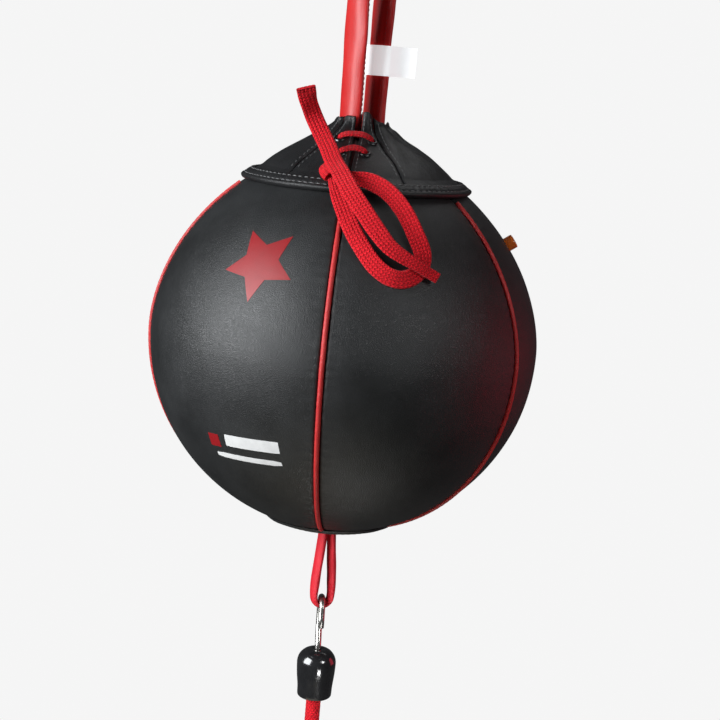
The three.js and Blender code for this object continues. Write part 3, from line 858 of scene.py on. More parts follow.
@dataclass(frozen=True)
class CollarLine:
    """The collar's inner line, which leaves the ball and turns up into the neck."""

    outline: Outline
    foot_angle: float = 60.0
    clearance: float = 0.3 * MM
    spring: float = 14 * MM
    shoulder_lift: float = 5 * MM
    neck_radius: float = 12.5 * MM
    neck_rise: float = 14 * MM
    neck_wall: float = 10 * MM

    def _controls(self) -> list[Vector]:
        """Return the four control points of the line, radius and height."""
        foot = Vector(self.outline.point(self.foot_angle, self.clearance))
        along = (Vector(self.outline.point(self.foot_angle + 1, self.clearance)) - foot).normalized()
        top = Vector((self.neck_radius, self.outline.radius + self.neck_rise))
        shoulder = foot + along * self.spring + Vector((0, self.shoulder_lift))
        return [foot, shoulder, top - Vector((0, self.neck_wall)), top]

    def point(self, share: float, lift: float = 0.0) -> tuple[float, float]:
        """Return radius and height at a share of the way up, lifted off the line."""
        a, b, c, d = self._controls()
        left = 1 - share
        place = a * left ** 3 + b * 3 * left * left * share + c * 3 * left * share * share + d * share ** 3
        along = (b - a) * left * left + (c - b) * 2 * left * share + (d - c) * share * share
        along.normalize()
        return place.x + along.y * lift, place.y - along.x * lift

    def place(self, azimuth: float, share: float, lift: float = 0.0) -> Vector:
        """Return the place at an azimuth, a share of the way up and a lift."""
        return self.outline.turned_to(azimuth, self.point(share, lift))

    def away(self, azimuth: float, share: float) -> Vector:
        """Return the outward direction on the collar."""
        return (self.place(azimuth, share, MM) - self.place(azimuth, share)).normalized()


# ---- Camera, light and stage ----


@dataclass(frozen=True)
class Softbox:
    """A square studio light that faces the ball."""

    name: str
    azimuth: float
    elevation: float
    distance: float
    width: float
    height: float
    power: float
    colour: tuple[float, float, float] = (1.0, 1.0, 1.0)
    drop: float = 0.0

    def place(self, centre: Vector) -> None:
        """Hang the light where it faces the centre, or a point some way below it."""
        light = bpy.data.lights.new(self.name, "AREA")
        light.shape = "RECTANGLE"
        light.size = self.width
        light.size_y = self.height
        light.energy = self.power
        light.color = self.colour
        holder = bpy.data.objects.new(self.name, light)
        bpy.context.scene.collection.objects.link(holder)
        back = direction(self.azimuth, self.elevation)
        holder.location = centre + back * self.distance - Vector((0, 0, self.drop))
        holder.rotation_euler = back.to_track_quat("Z", "Y").to_euler()
        holder.visible_camera = False


def direction(azimuth: float, elevation: float) -> Vector:
    """Return the unit vector towards an azimuth from the front and a height above the horizon, in degrees."""
    turn = math.radians(azimuth)
    rise = math.radians(elevation)
    return Vector((math.sin(turn) * math.cos(rise), -math.cos(turn) * math.cos(rise), math.sin(rise)))


@dataclass
class Studio:
    """The camera, the lights and a seamless pale stage."""

    centre: Vector
    floor_z: float
    distance: float = 0.765
    elevation: float = 10.0
    lean: float = 4.75
    lens: float = 71.9
    shift_x: float = 0.0229
    shift_y: float = -0.0306
    backdrop: float = 0.915
    ambient: float = 0.05
    stage_radius: float = 3.2
    lights: tuple[Softbox, ...] = (
        Softbox("window_left", -60, 14, 1.15, 0.75, 0.85, 25.0, (0.95, 0.98, 1.0)),
        Softbox("fill_right", 42, 24, 1.2, 0.25, 0.25, 3.4),
        Softbox("cap_glint", 18, -23, 0.12, 0.03, 0.018, 0.05, drop=0.184),
        Softbox("top_back", 150, 60, 1.3, 0.6, 0.6, 2.0),
        Softbox("floor_bounce", -20, -72, 0.9, 0.8, 0.8, 1.1, (1.0, 0.92, 0.72)),
        Softbox("red_card", 104, -4, 0.8, 0.3, 0.5, 0.8, (1.0, 0.05, 0.10)),
    )

    def place_camera(self) -> None:
        """Stand the camera in front, a little above the ball's level, leaning with the ball."""
        camera = bpy.data.cameras.new("camera")
        camera.lens = self.lens
        camera.sensor_width = 36
        camera.shift_x = self.shift_x
        camera.shift_y = self.shift_y
        camera.clip_start = 0.01
        holder = bpy.data.objects.new("camera", camera)
        bpy.context.scene.collection.objects.link(holder)
        back = direction(0, self.elevation)
        holder.location = self.centre + back * self.distance
        aim = back.to_track_quat("Z", "Y")
        holder.rotation_euler = (aim @ Quaternion((0, 0, 1), math.radians(self.lean))).to_euler()
        bpy.context.scene.camera = holder

    def place_lights(self) -> None:
        """Hang every softbox and set the dim surroundings."""
        for light in self.lights:
            light.place(self.centre)
        world = bpy.data.worlds.new("studio")
        world.use_nodes = True
        world.node_tree.nodes["Background"].inputs["Color"].default_value = (0.9, 0.95, 1.0, 1)
        world.node_tree.nodes["Background"].inputs["Strength"].default_value = self.ambient
        bpy.context.scene.world = world
        bpy.context.scene.view_settings.view_transform = "Standard"

    def build_stage(self) -> None:
        """Make the pale floor, which sweeps up all round and closes overhead."""
        curve = 0.9
        profile = [(0.0, self.floor_z), (self.stage_radius - curve, self.floor_z)]
        for step in range(1, 9):
            turn = math.pi / 2 * step / 8
            profile.append((self.stage_radius - curve + curve * math.sin(turn),
                            self.floor_z + curve * (1 - math.cos(turn))))
        profile += [(self.stage_radius * 0.8, self.stage_radius * 0.8), (0.0, self.stage_radius)]
        dome = surface_grid("stage", 64, len(profile) - 1,
                            lambda u, v: _ring_place(profile, u, v), closed=True)
        smooth_faces(dome, 60)
        recipe = Recipe("stage_paper")
        recipe.shader.inputs["Emission Color"].default_value = (1.0, 1.0, 1.0, 1)
        recipe.shader.inputs["Emission Strength"].default_value = self.backdrop
        recipe.shader.inputs["Specular IOR Level"].default_value = 0.0
        dome.data.materials.append(recipe.finish((0.0, 0.0, 0.0), 1.0))
        dome.visible_diffuse = False
        dome.visible_glossy = False
        dome.visible_transmission = False
        dome.visible_shadow = False

    def build(self) -> None:
        """Set up the whole studio."""
        self.place_camera()
        self.place_lights()
        self.build_stage()


def _ring_place(profile: list[tuple[float, float]], u: float, v: float) -> Vector:
    """Return the place on a turned profile at a share round and a share along its corners."""
    radius, height = profile[round(v * (len(profile) - 1))]
    turn = 2 * math.pi * u
    return Vector((radius * math.cos(turn), radius * math.sin(turn), height))


# ---- Straps ----


def hairpin(neck_half: float, neck_z: float, arch_radius: float, arch_z: float, upward: int) -> list[Vector]:
    """Return points up one strand, over a half circle and down the other, in the XZ plane.

    Args:
        neck_half: Half the strands' spacing at the neck.
        neck_z: The neck's height.
        arch_radius: Radius of the half circle.
        arch_z: Height of its centre.
        upward: 1 where the arch is above the neck and -1 where it is below.

    Returns:
        The middle line's points.
    """
    side = [
        Vector((neck_half, 0, neck_z)),
        Vector((blend_value(neck_half, arch_radius, 0.35), 0, blend_value(neck_z, arch_z, 0.3))),
        Vector((blend_value(neck_half, arch_radius, 0.9), 0, blend_value(neck_z, arch_z, 0.72))),
    ]
    arch = []
    for turn in range(0, 181, 30):
        reach = math.radians(turn)
        arch.append(Vector((arch_radius * math.cos(reach), 0,
                            arch_z + upward * arch_radius * math.sin(reach))))
    back = [Vector((-point.x, 0, point.z)) for point in reversed(side)]
    return [*side, *arch, *back]


def turned_points(points: list[Vector], azimuth: float) -> list[Vector]:
    """Return points turned about Z by an angle in degrees."""
    cos, sin = math.cos(math.radians(azimuth)), math.sin(math.radians(azimuth))
    return [Vector((p.x * cos - p.y * sin, p.x * sin + p.y * cos, p.z)) for p in points]


@dataclass
class RolledStrap:
    """A strap rolled from leather and sewn along one edge, hanging as a loop.

    Attributes:
        name: Name of the piece.
        azimuth: How far the loop's plane is turned from the XZ plane.
        width: The strap's width, across the loop's plane.
        thickness: Its thickness.
        neck_half: Half the strands' spacing at the neck.
        neck_z: Height at which the loop ends.
        arch_radius: Radius of the crown.
        arch_z: Height of the crown's centre.
        upward: 1 for a loop above its neck and -1 for one below.
        tail: How far the strap runs on past the neck, inside the ball.
        stitch_pitch: Spacing of the stitches along the sewn edge.
        ridge_height: How far the sewn edge stands out.
        crown_share: Thickness at the crown, as a share of the strands' thickness.
        stations: Points along the middle line.
    """

    name: str
    azimuth: float
    width: float
    thickness: float
    neck_half: float
    neck_z: float
    arch_radius: float
    arch_z: float
    upward: int
    tail: float
    stitch_pitch: float = 2.6 * MM
    ridge_height: float = 0.9 * MM
    crown_share: float = 1.0
    stations: int = 170

    def spine(self) -> list[Vector]:
        """Return the strap's middle line from end to end."""
        points = hairpin(self.neck_half, self.neck_z, self.arch_radius, self.arch_z, self.upward)
        below = self.neck_z - self.upward * self.tail
        points = [Vector((self.neck_half, 0, below)), *points, Vector((-self.neck_half, 0, below))]
        return smooth_path(turned_points(points, self.azimuth), self.stations)

    def width_direction(self) -> Vector:
        """Return the direction across the strap."""
        return turned_points([Vector((0, 1, 0))], self.azimuth)[0]

    def section(self, share: float) -> Section:
        """Return the strap's section, with its sewn edge as a low ridge.

        Args:
            share: Share of the way along, which sets how flat the roll is here.

        Returns:
            The section's corners.
        """
        squeeze = 1 + 0.05 * math.sin(share * 19) + 0.03 * math.sin(share * 43 + 1)
        pinch = blend_value(self.crown_share, 1.0, ease(0.03, 0.17, abs(share - 0.5)))
        half_width = self.width / 2 * squeeze * (0.45 + 0.55 * pinch)
        half_thickness = self.thickness / 2 * (2 - squeeze) * pinch
        corners = []
        for step in range(28):
            turn = 2 * math.pi * step / 28
            x = math.copysign(abs(math.cos(turn)) ** 0.8, math.cos(turn))
            y = math.copysign(abs(math.sin(turn)) ** 0.85, math.sin(turn))
            corners.append((half_width * x, half_thickness * y))
        ridge = []
        for x, y in corners:
            near = ease(0.55 * half_width, 0.98 * half_width, -x)
            ridge.append((x - near * self.ridge_height, y * (1 - 0.35 * near)))
        return ridge

    def build(self) -> Object:
        """Return the strap's mesh."""
        across = self.width_direction()
        strap = sweep(self.name, self.spine(), lambda share, point, along: across, self.section)
        smooth_faces(strap, 60)
        return strap

    def build_stitches(self) -> Object:
        """Return the row of stitches along the ridge."""
        across = self.width_direction()
        count = max(8, round(path_length(self.spine()) / self.stitch_pitch))
        line = smooth_path(self.spine(), count)
        places = []
        aways = []
        for i, point in enumerate(line):
            along = (line[min(count - 1, i + 1)] - line[max(0, i - 1)]).normalized()
            out = along.cross(across).normalized()
            edge = -across * (self.width / 2 * 0.80)
            places.append(point + edge + out * self.thickness * 0.40)
            aways.append((out - across * 0.6).normalized())
        return stitch_run(f"{self.name}_stitches", places, aways, self.stitch_pitch * 0.66, 0.36 * MM)


@dataclass
class HangingLoop:
    """The rolled strap that the ball hangs from, and its label."""

    palette: Palette
    azimuth: float = 42.0
    arch_radius: float = 9.1 * MM
    neck_half: float = 8.2 * MM
    strap_width: float = 14.5 * MM
    strap_thickness: float = 6.4 * MM
    tail: float = 13 * MM
    bend_reach: float = 8 * MM
    label_thickness: float = 0.35 * MM
    label_slack_wide: float = 1.7 * MM
    label_slack_thick: float = 1.2 * MM

    def build(self) -> None:
        """Build the strap, its stitches and the label."""
        swing_z = (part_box("top_loop")[0].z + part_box("loop_anchor")[1].z) / 2
        arch_z = self.strap_thickness / 2 - self.arch_radius
        strap = RolledStrap("hanging_strap", self.azimuth, self.strap_width, self.strap_thickness,
                            self.neck_half, swing_z, self.arch_radius, arch_z, 1, self.tail)
        loop = strap.build()
        dress(loop, Finish.STRAP_LEATHER, self.palette.strap)
        stitches = strap.build_stitches()
        dress(stitches, Finish.STRAP_LEATHER, self.palette.red_thread)
        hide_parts("top_loop", "loop_anchor")
        for piece in (loop, stitches):
            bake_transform(piece)
        self.build_label(strap.spine())

    def label_plan(self, middle: Vector, tip_x: float) -> list[Vector]:
        """Return the line that the folded label follows, seen from above.

        Args:
            middle: Where the strand passes through the label.
            tip_x: How far the leaves reach.

        Returns:
            Points from one leaf's free edge round the strand to the other's.
        """
        wrap = []
        for step in range(0, 181, 15):
            turn = math.radians(step)
            x = (self.strap_width / 2 + self.label_slack_wide) * math.cos(turn)
            y = (self.strap_thickness / 2 + self.label_slack_thick) * math.sin(turn)
            wrap.append(turned_points([Vector((x, y, 0))], self.azimuth + 90)[0] + middle)
        tip_y = middle.y
        bend_x = tip_x - 6 * MM
        tip_gap, bend_gap = 0.35 * MM, 0.45 * MM
        first = [Vector((tip_x, tip_y + tip_gap, 0)), Vector((bend_x, tip_y + bend_gap, 0))]
        last = [Vector((bend_x, tip_y - bend_gap, 0)), Vector((tip_x, tip_y - tip_gap, 0))]
        nearest = min(wrap, key=lambda p: p.y)
        if (wrap[0] - nearest).length < (wrap[-1] - nearest).length:
            wrap.reverse()
        return [*first, *wrap, *last]

    def build_label(self, spine: list[Vector]) -> None:
        """Fold the label round the right strand and dress it in its cloth."""
        low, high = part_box("label")
        strand = min(spine[:len(spine) // 2], key=lambda point: abs(point.z - (low.z + high.z) / 2))
        plan = smooth_path(self.label_plan(Vector((strand.x, strand.y, 0)), high.x - 0.6 * MM), 90)
        length = path_length(plan)

        def place(u: float, v: float) -> Vector:
            point = plan[round(u * (len(plan) - 1))]
            flutter = 0.25 * MM * math.sin(u * 9 + v * 2.2) * ease(0.0, 0.3, abs(u - 0.5))
            height = blend_value(low.z, high.z, 0.02 + 0.96 * v)
            return Vector((point.x, point.y + flutter, height))

        label = surface_grid("strap_label", 89, 12, place)
        thicken(label, self.label_thickness)
        smooth_faces(label, 50)
        settle(label, Finish.LABEL, self.palette.label, Body.HANGER, "label")
        LOG.info("label cut %.1f x %.1f mm", (high.z - low.z) / MM, length / MM)


# ---- Ball ----


@dataclass
class BallCover:
    """Five leather gores sewn round the bladder, with piping in the seams."""

    palette: Palette
    outline: Outline
    seam_azimuths: tuple[float, ...] = (-84.0, -5.0, 58.0, 130.0, 203.0)
    bottom_angle: float = -74.0
    top_angle: float = 60.0
    thickness: float = 2 * MM
    edge_gap: float = 0.75 * MM
    edge_roll: float = 2.2 * MM
    pucker_pitch: float = 5.5 * MM
    pucker_depth: float = 0.16 * MM
    piping_radius: float = 1.25 * MM
    piping_sink: float = 0.2 * MM
    print_lift: float = 0.12 * MM

    def spans(self) -> list[tuple[float, float]]:
        """Return each gore's first and last azimuth."""
        following = [*self.seam_azimuths[1:], self.seam_azimuths[0] + 360]
        return list(zip(self.seam_azimuths, following))

    def skin(self, span: tuple[float, float], azimuth: float, angle: float, lift: float = 0.0) -> Vector:
        """Return a place on a gore, with its rolled edges, puckers and slow unevenness.

        Args:
            span: The gore's first and last azimuth.
            azimuth: The place's azimuth.
            angle: Its outline angle.
            lift: Height above the leather.

        Returns:
            The place.
        """
        radius, _ = self.outline.point(angle)
        run = math.radians(angle) * self.outline.radius
        from_edge = math.radians(min(azimuth - span[0], span[1] - azimuth)) * radius - self.edge_gap
        sink = rolled_drop(max(0.0, from_edge), self.edge_roll)
        near = 1 - ease(0.0, 13 * MM, from_edge)
        rough = noise(Vector((azimuth * 0.09, angle * 0.16, span[0])))
        pucker = math.sin(2 * math.pi * run / self.pucker_pitch + 1.9 * rough + span[0])
        slow = noise(Vector((azimuth * 0.035, angle * 0.045, 7 + span[0])))
        tuck = 0.25 * MM * near
        offset = lift - sink - tuck + near * near * pucker * self.pucker_depth + slow * 0.35 * MM
        return self.outline.place(azimuth, angle, offset)

    def build_gore(self, index: int) -> Object:
        """Return one gore, edge to edge between its seams."""
        span = self.spans()[index]
        columns, rows = 72, 190
        edge_crowding = 0.055

        def place(u: float, v: float) -> Vector:
            angle = blend_value(self.bottom_angle, self.top_angle, v)
            radius, _ = self.outline.point(angle)
            back = math.degrees(self.edge_gap / radius)
            spread = u - edge_crowding * math.sin(4 * math.pi * u)
            return self.skin(span, blend_value(span[0] + back, span[1] - back, spread), angle)

        gore = surface_grid(f"gore_{index + 1}", columns, rows, place)
        thicken(gore, self.thickness * 0.7)
        smooth_faces(gore, 50)
        return gore

    def build_piping(self, azimuth: float, index: int) -> Object:
        """Return the piping of one seam, nipped at each stitch."""
        start, end, count = -68.5, 52.0, 330
        nip_pitch = 3.4 * MM
        spine = []
        for step in range(count + 1):
            angle = blend_value(start, end, step / count)
            wander = 0.12 * MM * noise(Vector((angle * 0.12, azimuth, 3)))
            spine.append(self.outline.place(azimuth + math.degrees(wander / self.outline.radius), angle,
                                            -self.piping_sink))
        length = path_length(spine)

        def section(share: float) -> Section:
            nip = 0.5 + 0.5 * math.cos(2 * math.pi * share * length / nip_pitch)
            radius = self.piping_radius * (1 - 0.07 * nip ** 6)
            return [(radius * math.cos(math.tau * i / 14), radius * math.sin(math.tau * i / 14))
                    for i in range(14)]

        centre = Vector((0, 0, self.outline.centre_z))
        cord = sweep(f"seam_piping_{index + 1}", spine,
                     lambda share, point, along: along.cross(point - centre), section)
        smooth_faces(cord, 60)
        return cord

    def build_valve(self) -> Object:
        """Return the valve plug with its rimmed head and needle hole, standing where the frame has it."""
        azimuth, angle = 86.0, 36.0
        head, stem, stand = 3.7 * MM, 2.6 * MM, 4.4 * MM
        bpy.ops.object.select_all(action="DESELECT")
        bpy.ops.mesh.primitive_cylinder_add(vertices=32, radius=head, depth=stand + 2 * MM)
        plug = bpy.context.object
        plug.name = "valve_plug"
        plug.data.name = "valve_plug"
        bpy.ops.object.mode_set(mode="EDIT")
        select_faces(plug, lambda face: face.normal.z > 0.9)
        bpy.ops.mesh.inset(thickness=head * 0.42)
        bpy.ops.transform.translate(value=(0, 0, 0.25 * MM))
        bpy.ops.mesh.inset(thickness=head * 0.30)
        bpy.ops.mesh.extrude_region_move(TRANSFORM_OT_translate={"value": (0, 0, -2.2 * MM)})
        select_faces(plug, lambda face: face.normal.z < -0.9)
        bpy.ops.mesh.inset(thickness=head - stem)
        bpy.ops.mesh.extrude_region_move(TRANSFORM_OT_translate={"value": (0, 0, -7 * MM)})
        bpy.ops.object.mode_set(mode="OBJECT")
        bevel = plug.modifiers.new("rim", "BEVEL")
        bevel.width = 0.45 * MM
        bevel.segments = 3
        bevel.limit_method = "ANGLE"
        apply_modifiers(plug)
        seat = self.outline.place(azimuth, angle)
        out = (seat - Vector((0, 0, self.outline.centre_z))).normalized()
        plug.rotation_mode = "QUATERNION"
        plug.rotation_quaternion = out.to_track_quat("Z", "Y")
        plug.location = seat + out * (stand - (stand + 2 * MM) / 2)
        make_active(plug)
        bpy.ops.object.transform_apply(location=True, rotation=True, scale=True)
        smooth_faces(plug, 40)
        return plug

    def build_print(self, name: str, azimuth: float, angle: float, tilt: float,
                    radius_at: Callable[[float], float]) -> Object:
        """Lay a thin print on the first gore.

        Args:
            name: The object's name.
            azimuth: The print's middle.
            angle: Its middle's outline angle.
            tilt: How far it is turned, in degrees.
            radius_at: Gives its edge's distance from the middle at a turn in radians.

        Returns:
            The print's mesh.
        """
        span = self.spans()[0]

        def place(u: float, v: float) -> Vector:
            turn = math.tau * u
            reach = radius_at(turn) * (1 - v)
            x = reach * math.cos(turn + math.radians(tilt))
            y = reach * math.sin(turn + math.radians(tilt))
            here = angle + math.degrees(y / self.outline.radius)
            radius, _ = self.outline.point(here)
            return self.skin(span, azimuth + math.degrees(x / radius), here, self.print_lift)

        decal = surface_grid(name, 120, 14, place, closed=True)
        turn_outward_from(decal, Vector((0, 0, self.outline.centre_z)))
        thicken(decal, self.print_lift * 1.5)
        smooth_faces(decal, 50)
        return decal

    def build(self) -> None:
        """Build and dress the cover."""
        palette = self.palette
        for index, azimuth in enumerate(self.seam_azimuths):
            gore = self.build_gore(index)
            settle(gore, Finish.BALL_LEATHER, palette.ball, Body.BALL, f"panel_{index + 1}")
            cord = self.build_piping(azimuth, index)
            settle(cord, Finish.PIPING, palette.piping, Body.BALL, f"piping_{index + 1}")
        settle(self.build_valve(), Finish.VALVE_RUBBER, palette.valve, Body.BALL, "inflation_valve")
        star = self.build_print("star_print", -28.7, 28.8, 90.0,
                                lambda turn: star_edge(turn, 19.5 * MM, 9.5 * MM))
        settle(star, Finish.PIPING, palette.red_print, Body.BALL)
        bars = ((-39.2, -24.8, 3.4 * MM, 3.6 * MM, palette.red_print),
                (-25.4, -23.4, 15.0 * MM, 3.3 * MM, palette.white_print),
                (-27.6, -28.9, 18.6 * MM, 1.5 * MM, palette.white_print))
        for index, (azimuth, angle, half_length, half_height, material) in enumerate(bars):
            bar = self.build_print(f"bar_print_{index + 1}", azimuth, angle, 3.0,
                                   lambda turn, a=half_length, b=half_height: bar_edge(turn, a, b))
            settle(bar, Finish.LABEL, material, Body.BALL)


def select_faces(piece: Object, wanted: Callable[["bmesh.types.BMFace"], bool]) -> None:
    """Select the faces of a piece in edit mode that answer a test."""
    editing = bmesh.from_edit_mesh(piece.data)
    bpy.ops.mesh.select_all(action="DESELECT")
    bpy.ops.mesh.select_mode(type="FACE")
    for face in editing.faces:
        face.select_set(bool(wanted(face)))
    bmesh.update_edit_mesh(piece.data)


def turn_outward_from(piece: Object, centre: Vector) -> None:
    """Turn an open surface's faces away from a centre."""
    first = piece.data.polygons[len(piece.data.polygons) // 2]
    if first.normal.dot(first.center - centre) < 0:
        piece.data.flip_normals()


def star_edge(turn: float, outer: float, inner: float) -> float:
    """Return the distance from the middle to a five-pointed star's edge at a turn in radians."""
    fifth = math.tau / 5
    share = abs(((turn / fifth) % 1) * 2 - 1)
    near = (1 - share) * fifth / 2
    tip = Vector((outer, 0))
    notch = Vector((inner * math.cos(fifth / 2), inner * math.sin(fifth / 2)))
    angle = fifth / 2 - near
    edge = notch - tip
    cross = math.cos(angle) * edge.y - math.sin(angle) * edge.x
    return (tip.x * edge.y - tip.y * edge.x) / cross


def bar_edge(turn: float, half_length: float, half_height: float) -> float:
    """Return the distance from the middle to a bar's edge at a turn in radians."""
    across = abs(math.cos(turn)) / half_length
    up = abs(math.sin(turn)) / half_height
    return 1 / max(across, up)


# ---- Neck collar ----


@dataclass
class NeckCollar:
    """The gathered leather neck, its bound hem, tongue, eyelets and stitches."""

    palette: Palette
    outline: Outline
    line: CollarLine
    hem_angle: float = 54.0
    thickness: float = 1.8 * MM
    clearance: float = 0.3 * MM
    slit_azimuth: float = -5.0
    seam_azimuths: tuple[float, float, float] = (-41.0, 27.0, 173.0)
    eyelet_rows: tuple[float, float] = (0.33, 0.56)
    eyelet_spacings: tuple[float, float] = (6 * MM, 8 * MM)
    slit_half: float = 0.8 * MM
    seam_half: float = 0.15 * MM
    hem_height: float = 6.5 * MM
    hem_thickness: float = 1.2 * MM
    hem_share: float = 0.17
    stitch_pitch: float = 3.4 * MM

    def surface(self, azimuth: float, share: float, lift: float = 0.0) -> Vector:
        """Return a place on the collar's outside, gathered into folds towards the neck.

        Args:
            azimuth: The place's azimuth.
            share: 0 at the hem's lower edge and 1 at the neck's top edge.
            lift: Height above the leather.

        Returns:
            The place.
        """
        if share < self.hem_share:
            angle = blend_value(self.hem_angle, self.line.foot_angle, share / self.hem_share)
            return self.outline.place(azimuth, angle, self.clearance + self.thickness + lift)
        up = (share - self.hem_share) / (1 - self.hem_share)
        gather = ease(0.12, 0.95, up)
        a = math.radians(azimuth)
        folds = (0.55 * math.sin(7 * a + 0.6 + 1.1 * up) + 0.45 * math.sin(11 * a - 1.3 * up)
                 + 0.35 * math.sin(17 * a + 2 + 2 * up))
        crumple = noise(Vector((math.cos(a) * 4, math.sin(a) * 4, up * 5))) * 1.1 * math.sin(math.pi * up)
        sag = noise(Vector((math.cos(a) * 1.3, math.sin(a) * 1.3, up * 1.4 + 5)))
        offset = (folds * 0.75 * gather + crumple * 0.7 + sag * 1.3 * math.sin(math.pi * up)) * MM
        place = self.line.place(azimuth, up, self.thickness + lift + offset)
        ragged = 2.4 * math.cos(2 * a + 0.15) + 1.1 * math.sin(5 * a + 0.5) + 0.6 * math.sin(9 * a)
        place.z += ragged * MM * ease(0.72, 1.0, up)
        return place

    def away(self, azimuth: float, share: float) -> Vector:
        """Return the outward direction at a place on the collar."""
        middle = self.surface(azimuth, share)
        right = self.surface(azimuth + 0.5, share) - middle
        upper = self.surface(azimuth, min(1.0, share + 0.01)) - self.surface(azimuth, share - 0.01)
        return right.cross(upper).normalized()

    def build_leaf(self, name: str, start: float, end: float, starts_slit: bool, ends_slit: bool) -> Object:
        """Return one leaf of the collar.

        Args:
            name: The object's name.
            start: Its first azimuth.
            end: Its last azimuth.
            starts_slit: Whether it starts at the laced slit.
            ends_slit: Whether it ends there.

        Returns:
            The leaf's mesh.
        """
        columns = max(20, round((end - start) * 0.9))
        rows = 70
        roll = 1.2 * MM

        def gap(at_slit: bool, share: float) -> float:
            return self.slit_half + 1.1 * MM * ease(0.3, 1.0, share) if at_slit else self.seam_half

        def place(u: float, v: float) -> Vector:
            flat = self.surface(start, v)
            radius = max(8 * MM, math.hypot(flat.x, flat.y))
            first = start + math.degrees(gap(starts_slit, v) / radius)
            last = end - math.degrees(gap(ends_slit, v) / radius)
            spread = u - 0.075 * math.sin(4 * math.pi * u)
            azimuth = blend_value(first, last, spread)
            from_edge = math.radians(min(azimuth - first, last - azimuth)) * radius
            drop = rolled_drop(from_edge, roll) * 0.8
            top_drop = rolled_drop((1 - v) * 60 * MM, roll) * 0.5
            return self.surface(azimuth, v, -drop - top_drop)

        leaf = surface_grid(name, columns, rows, place)
        thicken(leaf, self.thickness * 0.8)
        smooth_faces(leaf, 55)
        return leaf

    def hem_point(self, up: float, out: float) -> tuple[float, float]:
        """Return radius and height of a place on the hem, along the ball and out from it."""
        foot = Vector(self.outline.point(self.hem_angle, 2 * self.clearance + self.thickness))
        along = Vector(self.outline.point(self.hem_angle + 1)) - Vector(self.outline.point(self.hem_angle))
        along.normalize()
        place = foot + along * up + Vector((along.y, -along.x)) * out
        return place.x, place.y

    def build_hem(self) -> Object:
        """Return the bound hem: a rolled lower edge, a sewn channel and a flat upper band."""
        t = self.hem_thickness
        profile = [(-1.2, -1.6), (-1.7, -0.6), (-1.75, 0.3), (-1.3, t / MM * 0.95), (-0.4, t / MM * 1.15),
                   (0.5, t / MM * 0.95), (1.0, t / MM * 0.62), (1.5, t / MM * 0.85), (2.6, t / MM),
                   (4.0, t / MM * 0.98), (4.9, t / MM * 0.66), (5.4, t / MM * 0.8), (6.2, t / MM * 0.6),
                   (6.5, 0.25), (6.4, -0.2), (3.0, -0.3)]

        def place(u: float, v: float) -> Vector:
            up, out = profile[round(v * len(profile)) % len(profile)]
            azimuth = 360 * u
            sway = 0.35 * noise(Vector((math.cos(math.tau * u) * 3, math.sin(math.tau * u) * 3, 9)))
            nip = 0.10 * math.cos(azimuth * 1.75) if 0 < up < 5.5 and out > 0 else 0.0
            return self.outline.turned_to(azimuth, self.hem_point((up + sway) * MM, (out + nip) * MM))

        band = surface_grid("hem_band", 420, len(profile), place, closed=True)
        turn_outward(band)
        smooth_faces(band, 60)
        return band

    def build_hem_stitches(self, name: str, up: float, out: float) -> Object:
        """Return one row of stitches right round the hem."""
        radius, _ = self.hem_point(up, out)
        count = round(math.tau * radius / self.stitch_pitch)
        places = []
        aways = []
        for step in range(count + 1):
            azimuth = 360 * step / count
            places.append(self.outline.turned_to(azimuth, self.hem_point(up, out)))
            aways.append(self.outline.away(azimuth, self.hem_angle))
        return stitch_run(name, places, aways, self.stitch_pitch * 0.68, 0.55 * MM)

    def build_seam_stitches(self) -> Object:
        """Return the stitches that run up beside each seam of the collar."""
        rows = []
        for seam in self.seam_azimuths:
            for side in (-1, 1):
                rows.append(self.stitch_column(seam, side * 2.3 * MM))
        for side in Side:
            rows.append(self.stitch_column(self.slit_azimuth, side.value * 3.0 * MM))
        deselect_all()
        for row in rows:
            row.select_set(True)
        bpy.context.view_layer.objects.active = rows[0]
        bpy.ops.object.join()
        joined = bpy.context.object
        joined.name = "seam_stitches"
        return joined

    def stitch_column(self, azimuth: float, offset: float) -> Object:
        """Return one row of stitches up the collar at an offset from a seam."""
        count = 15
        places = []
        aways = []
        for step in range(count + 1):
            share = blend_value(0.2, 0.93, step / count)
            flat = self.surface(azimuth, share)
            here = azimuth + math.degrees(offset / math.hypot(flat.x, flat.y))
            places.append(self.surface(here, share, 0.05 * MM))
            aways.append(self.away(here, share))
        return stitch_run("stitch_column", places, aways, 2.1 * MM, 0.42 * MM)

    def build_tongue(self) -> Object:
        """Return the leather tongue behind the slit."""
        half_angle = 15.0

        def place(u: float, v: float) -> Vector:
            share = blend_value(0.12, 0.62, v)
            azimuth = self.slit_azimuth + blend_value(-half_angle, half_angle, u)
            dip = 0.5 * MM * math.sin(3 * math.pi * u + 2 * v)
            return self.line.place(azimuth, share, -self.clearance - abs(dip))

        tongue = surface_grid("slit_tongue", 18, 26, place)
        thicken(tongue, 1.3 * MM)
        smooth_faces(tongue, 50)
        return tongue

    def eyelet_azimuth(self, row: int, side: Side) -> float:
        """Return the azimuth of an eyelet."""
        radius, _ = self.line.point(self.eyelet_rows[row])
        return self.slit_azimuth + side.value * math.degrees(self.eyelet_spacings[row] / radius)

